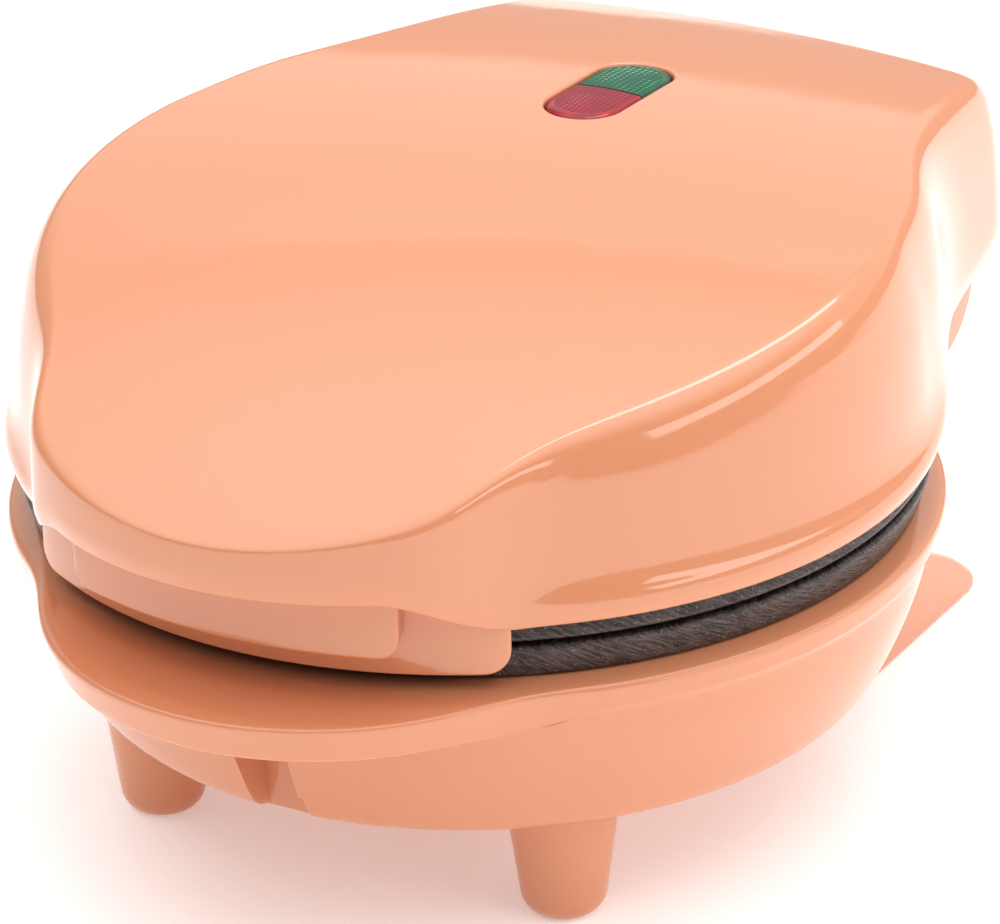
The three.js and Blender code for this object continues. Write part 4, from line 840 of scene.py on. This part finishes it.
def base_shell():
    """The bowl with its flange, the hinge block, two conical front feet and an ear for each hinge
    pin: three quarters of a circle about the hinge's axis that ends in the block."""
    # Radius and height: the sole, its slanted edge, and the cone up into the bowl
    foot = [(NEAR_AXIS, 0), (4.3, 0), (5.8, 1.7), (8.3, 20.3), (NEAR_AXIS, 20.3)]
    feet = [turned_skin(foot, [0, 1.1, 1.1, 0, 0], (side * FRONT_FOOT_RIGHT, -FRONT_FOOT_AHEAD, 0))
            for side in (-1, 1)]
    ears = []
    for side in (-1, 1):
        low, high = sorted((side * EAR_INNER, side * EAR_OUTER))
        around = np.linspace(-np.pi / 2, np.pi, 60)
        outline = np.vstack([
            np.column_stack([HINGE_Y + EAR_RADIUS * np.cos(around),
                             HINGE_Z + EAR_RADIUS * np.sin(around)]),
            np.column_stack([np.full(10, HINGE_Y - EAR_RADIUS),
                             np.linspace(HINGE_Z - 1, BLOCK_TOP - WALL, 10)]),
            np.column_stack([np.linspace(HINGE_Y - 11, BLOCK_BACK - 0.6, 10),
                             np.full(10, BLOCK_TOP - WALL)])])
        ears.append(slab(outline, low, high, EAR_ROUNDING))
    piece("base_shell_moulding", [base_skin(), hinge_block()] + feet + ears, "base", apricot,
          ["base_shell"])


# Plates

def plate_skins(parting, up):
    """A waffle plate: a dished disc turned about the axis, and a field of pegs. A peg is rings of
    rounded squares, its outline a circle whose cosine and sine are raised to a power, and pegs at
    the edge are drawn in to the well. The upper plate is the lower one turned over."""
    top, bottom = PLATE_RADIUS - PLATE_BRIM, PLATE_RADIUS - PLATE_BRIM - WELL_SLOPE
    rim = PLATE_RADIUS - SHELF_LEDGE
    profile = [(NEAR_AXIS, -PLATE_BACK), (bottom + 1.5, -PLATE_BACK), (top + 1.5, -BRIM_BACK),
               (rim - 1.6, -BRIM_BACK), (rim - 1.6, -SEAT_LIP), (rim, -SEAT_LIP),
               (PLATE_RADIUS, -0.5), (PLATE_RADIUS - 0.5, 0), (top, 0), (bottom, -WELL_DEPTH),
               (NEAR_AXIS, -WELL_DEPTH)]
    roundings = [0, 1.5, 0.5, 0.3, 0.3, 0.3, 0.4, 0.3, 1.0, 1.5, 0]
    skins = [turned_skin(profile, roundings, steps=300)]
    field = bottom - PEG_CLEARANCE
    turn = np.linspace(0, 2 * np.pi, 40, endpoint=False) + 0.001
    square = [np.sign(part) * np.abs(part) ** PEG_SQUARENESS
              for part in (np.cos(turn), np.sin(turn))]
    # Height and half width of each ring of a peg
    heights = np.array([-7.4, -6.8, -6.3, -4.5, -2.9, -2.4, -2.15, -2.1])
    halves = np.array([5.6, 5.5, 5.2, 4.7, 4.35, 4.0, 3.4, 2.4])
    middle = (PEG_ROWS - 1) / 2
    for i in range(PEG_ROWS):
        for j in range(PEG_ROWS):
            x, y = (i - middle) * PEG_PITCH, (j - middle) * PEG_PITCH
            if math.hypot(x, y) < field:
                px = x + halves[:, None] * square[0]
                py = y + halves[:, None] * square[1]
                far = np.hypot(px, py)
                pull = np.minimum(1, (field + 0.6 * (halves[:, None] - 4.5)) / far)
                pz = np.broadcast_to(heights[:, None], px.shape)
                skins.append(skin(np.stack([px * pull, py * pull, pz], -1)))
    side = 1 if up else -1
    return [(points * (1, side, side) + (0, 0, parting), quads, caps)
            for points, quads, caps in skins]


def plates():
    """Both plates, whose faces look at each other across the parting gap."""
    for half, body, parting in (("lower", "base", PARTING_BOTTOM), ("upper", "lid", PARTING_TOP)):
        piece(f"{half}_plate_casting", plate_skins(parting, half == "lower"), body, coating,
              [f"{half}_plate"])


# Plate screws

def plate_screw(x, y, face, length, up):
    """A countersunk screw: its head is a height over radius and direction, a shallow dome less a
    cross of two bars, and a cone and a shank hang below it."""
    turn = np.linspace(0, 2 * np.pi, 96, endpoint=False)
    head = SCREW_HEAD_RADIUS
    rings = []
    for radius in np.linspace(NEAR_AXIS, head - 0.12, 16):
        u, v = radius * np.cos(turn), radius * np.sin(turn)
        bars = [np.clip((CROSS_HALF_WIDTH - np.abs(a)) / 0.15, 0, 1)
                * np.clip((CROSS_REACH - np.abs(b)) / 0.3, 0, 1) for a, b in ((u, v), (v, u))]
        height = 0.05 + 0.1 * (1 - (radius / head) ** 2) - CROSS_DEPTH * np.maximum(*bars)
        rings.append(np.column_stack([u, v, height]))
    below = ((head - 0.03, 0.02), (head, -0.1), (SCREW_SHANK_RADIUS, -1.6),
             (SCREW_SHANK_RADIUS, 0.4 - length), (NEAR_AXIS, -length))
    rings += [ring(turn, radius, height) for radius, height in below]
    side = 1 if up else -1
    return skin(np.array(rings) * (1, 1, side) + (x, y, face))


def plate_screws(half, body, up):
    """The four screws of a plate, each where its CAD node stands."""
    names = [f"{half}_plate_screw_{k}" for k in (1, 2, 3, 4)]
    screws = []
    for name in names:
        low, high = (np.array(corner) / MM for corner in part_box(name))
        x, y, _ = (low + high) / 2
        face = high[2] if up else low[2]
        screws.append(plate_screw(x, y - AXIS_BACK, face, high[2] - low[2], up))
    piece(f"{half}_plate_screws", screws, body, zinc, names, sharp=35)


# Indicator lenses

def lens(name, side, node_name, finish, edge):
    """Half of a long rounded lens: its outline shrinks by a quarter circle at the top edge, which
    has a finish of its own, and its face swells in the middle."""
    half, straight = WINDOW_HALF_WIDTH - FIT, WINDOW_HALF_LENGTH - WINDOW_HALF_WIDTH
    t = np.linspace(0, np.pi, 40)
    outline = np.vstack([np.column_stack([half * np.cos(t), straight + half * np.sin(t)]),
                         np.column_stack([np.full(24, -half),
                                          np.linspace(straight - 0.3, FIT / 2, 24)]),
                         np.column_stack([np.linspace(-half + 0.4, half - 0.4, 20),
                                          np.full(20, FIT / 2)]),
                         np.column_stack([np.full(24, half),
                                          np.linspace(FIT / 2, straight - 0.3, 24)])])
    outline = outline * (1, side)
    middle = np.array([0, side * FIT / 2])
    rim, top = WINDOW_RIM, -LENS_SINK
    turn = np.radians(np.linspace(0, 90, 7))
    sides = [(0, -LENS_DEPTH)] + list(zip(rim * (1 - np.cos(turn)), top - rim + rim * np.sin(turn)))
    rings = []
    for inset, z in sides:
        share = 1 - inset / half
        rings.append(np.column_stack([middle + (outline - middle) * share,
                                      np.full(len(outline), z)]))
    for share in np.linspace(1 - rim / half, 0.0, 13)[1:]:
        z = top + LENS_SWELL * (1 - (share / (1 - rim / half)) ** 2)
        rings.append(np.column_stack([middle + (outline - middle) * max(share, 0.001),
                                      np.full(len(outline), z)]))
    rings = np.array(rings)
    tilt = -math.atan((WINDOW_BACK - CROWN_PEAK_BACK) / CROWN_LENGTH_RADIUS)
    y, z = rings[..., 1], rings[..., 2]
    rings = np.stack([rings[..., 0], WINDOW_BACK + y * math.cos(tilt) - z * math.sin(tilt),
                      crown(0, WINDOW_BACK) + y * math.sin(tilt) + z * math.cos(tilt)], -1)
    piece(name, [skin(rings)], "lid", finish, [node_name], edge=edge,
          edge_faces=(len(sides) - 1) * len(outline))


# Floor, light and camera

def photo_floor():
    """A sheet of matt white paper 6 m square, which glows a little so that it stays white."""
    mesh = bpy.data.meshes.new("studio_floor")
    half = 3.0
    mesh.from_pydata([(-half, -half, 0), (half, -half, 0), (half, half, 0), (-half, half, 0)], [],
                     [(0, 1, 2, 3)])
    floor = bpy.data.objects.new("studio_floor", mesh)
    bpy.context.scene.collection.objects.link(floor)
    material, tree, shader, place = started("white_paper_floor", Roughness=0.9, IOR=1.3,
                                            Emission_Color=(1, 1, 1, 1), Emission_Strength=0.3)
    clouded(tree, shader, place, "#f4f3f2", "#f7f6f5", 4, 2.0)
    mesh.materials.append(material)


def softbox(name, place, goal, size, power):
    """A white rectangular light turned to a goal; its size is in metres, its power in watts."""
    lamp = bpy.data.lights.new(name, "AREA")
    lamp.shape = "RECTANGLE"
    lamp.size, lamp.size_y = size
    lamp.energy = power
    light = bpy.data.objects.new(name, lamp)
    bpy.context.scene.collection.objects.link(light)
    light.location = place
    light.rotation_euler = look_along(np.array(goal) - np.array(place))


def look_along(aim, roll=0.0):
    """Euler angles that point an object's -Z along aim, with its X level and then rolled."""
    turn = Vector(aim).to_track_quat("-Z", "Y").to_matrix().to_4x4()
    return (turn @ Matrix.Rotation(roll, 4, "Z")).to_euler()


def studio():
    """White air that is dimmer in front than behind and brightest overhead, a pale panel behind the
    appliance for its crown to mirror, a softbox on the right for the bright streaks along the
    lid's edges, and a strip above and behind for a gleam on the forms that face it."""
    world = bpy.data.worlds.new("studio_air")
    bpy.context.scene.world = world
    world.use_nodes = True
    tree = world.node_tree
    air = tree.nodes["Background"]
    air.inputs["Color"].default_value = linear("#ffffff")
    way = node(tree, "ShaderNodeTexCoord").outputs["Generated"]
    split = node(tree, "ShaderNodeSeparateXYZ", {0: way})
    behind = node(tree, "ShaderNodeMapRange",
                  {0: split.outputs[1], 1: -0.75, 2: 0.5, 3: 0.2, 4: 0.45},
                  interpolation_type="SMOOTHSTEP")
    right = node(tree, "ShaderNodeMapRange", {0: split.outputs[0], 1: 0.2, 2: 1.0, 4: 0.02})
    beside = node(tree, "ShaderNodeMath", {0: right.outputs[0], 1: behind.outputs[0]},
                  operation="ADD")
    above = node(tree, "ShaderNodeMapRange", {0: split.outputs[2], 1: 0.5, 2: 0.95, 4: 1.95},
                 interpolation_type="SMOOTHSTEP")
    even = node(tree, "ShaderNodeMath", {0: beside.outputs[0], 1: above.outputs[0]},
                operation="ADD")
    # The panel's lower edge, its upper edge, and its ends, where a direction turns from the rear
    bottom = node(tree, "ShaderNodeMapRange", {0: split.outputs[2], 1: 0.20, 2: 0.225})
    top = node(tree, "ShaderNodeMapRange", {0: split.outputs[2], 1: 0.605, 2: 0.62, 3: 1.0, 4: 0.0})
    sides = node(tree, "ShaderNodeMapRange", {0: split.outputs[1], 1: 0.45, 2: 0.62})
    tall = node(tree, "ShaderNodeMath", {0: bottom.outputs[0], 1: top.outputs[0]},
                operation="MULTIPLY")
    panel = node(tree, "ShaderNodeMath", {0: tall.outputs[0], 1: sides.outputs[0]},
                 operation="MULTIPLY")
    light = node(tree, "ShaderNodeMath", {0: panel.outputs[0], 1: 0.55, 2: even.outputs[0]},
                 operation="MULTIPLY_ADD")
    tree.links.new(light.outputs[0], air.inputs["Strength"])
    softbox("softbox_right", (1.004, 0.177, 0.47), (0, 0, 0.05), (1.17, 0.2), 2.3)
    softbox("strip_softbox_behind", (0.035, 0.43, 1.06), (0, 0, 0.05), (0.2, 0.7), 2.2)
    bpy.context.scene.view_settings.view_transform = "Standard"


def photo_camera():
    """The photograph's view: 30 degrees round to the right, 25 above, with a slight roll, through a
    long lens from nearly 0.9 m away."""
    turn, lift, roll = math.radians(30.09), math.radians(25.23), math.radians(1.35)
    eye = np.array([392.11, -670.26 + AXIS_BACK, 410.76]) * MM
    ahead = np.array([-math.sin(turn) * math.cos(lift), math.cos(turn) * math.cos(lift),
                      -math.sin(lift)])
    data = bpy.data.cameras.new("photo_camera")
    data.sensor_width, data.lens = 36.0, 223.2
    camera = bpy.data.objects.new("photo_camera", data)
    bpy.context.scene.collection.objects.link(camera)
    camera.location = eye
    camera.rotation_euler = look_along(ahead, -roll)
    bpy.context.scene.camera = camera


lid_shell()
base_shell()
plates()
plate_screws("lower", "base", True)
plate_screws("upper", "lid", False)
lens("red_lens_half", -1, "power_lens", red_lens, red_edge)
lens("green_lens_half", 1, "ready_lens", green_lens, green_edge)

# The other CAD nodes keep their shape, and those that aren't named here are zinc plated steel
for name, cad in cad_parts.items():
    if cad.hide_render:
        continue
    finish = zinc
    if "heater" in name:
        finish = sheath
    elif "reflector" in name and "screw" not in name:
        finish = bright_sheet
    elif name == "hinge_cover":
        finish = apricot
    elif name == "cord_gland":
        finish = rubber
    elif "sleeve" in name:
        finish = glass_braid
    elif name == "thermostat":
        finish = brown_bakelite
    elif name in ("terminal_block", "lamp_holder"):
        finish = ivory
    elif name.endswith("_lamp"):
        finish = lamp_glass
    cad.data.materials.clear()
    cad.data.materials.append(finish)

photo_floor()
studio()
photo_camera()
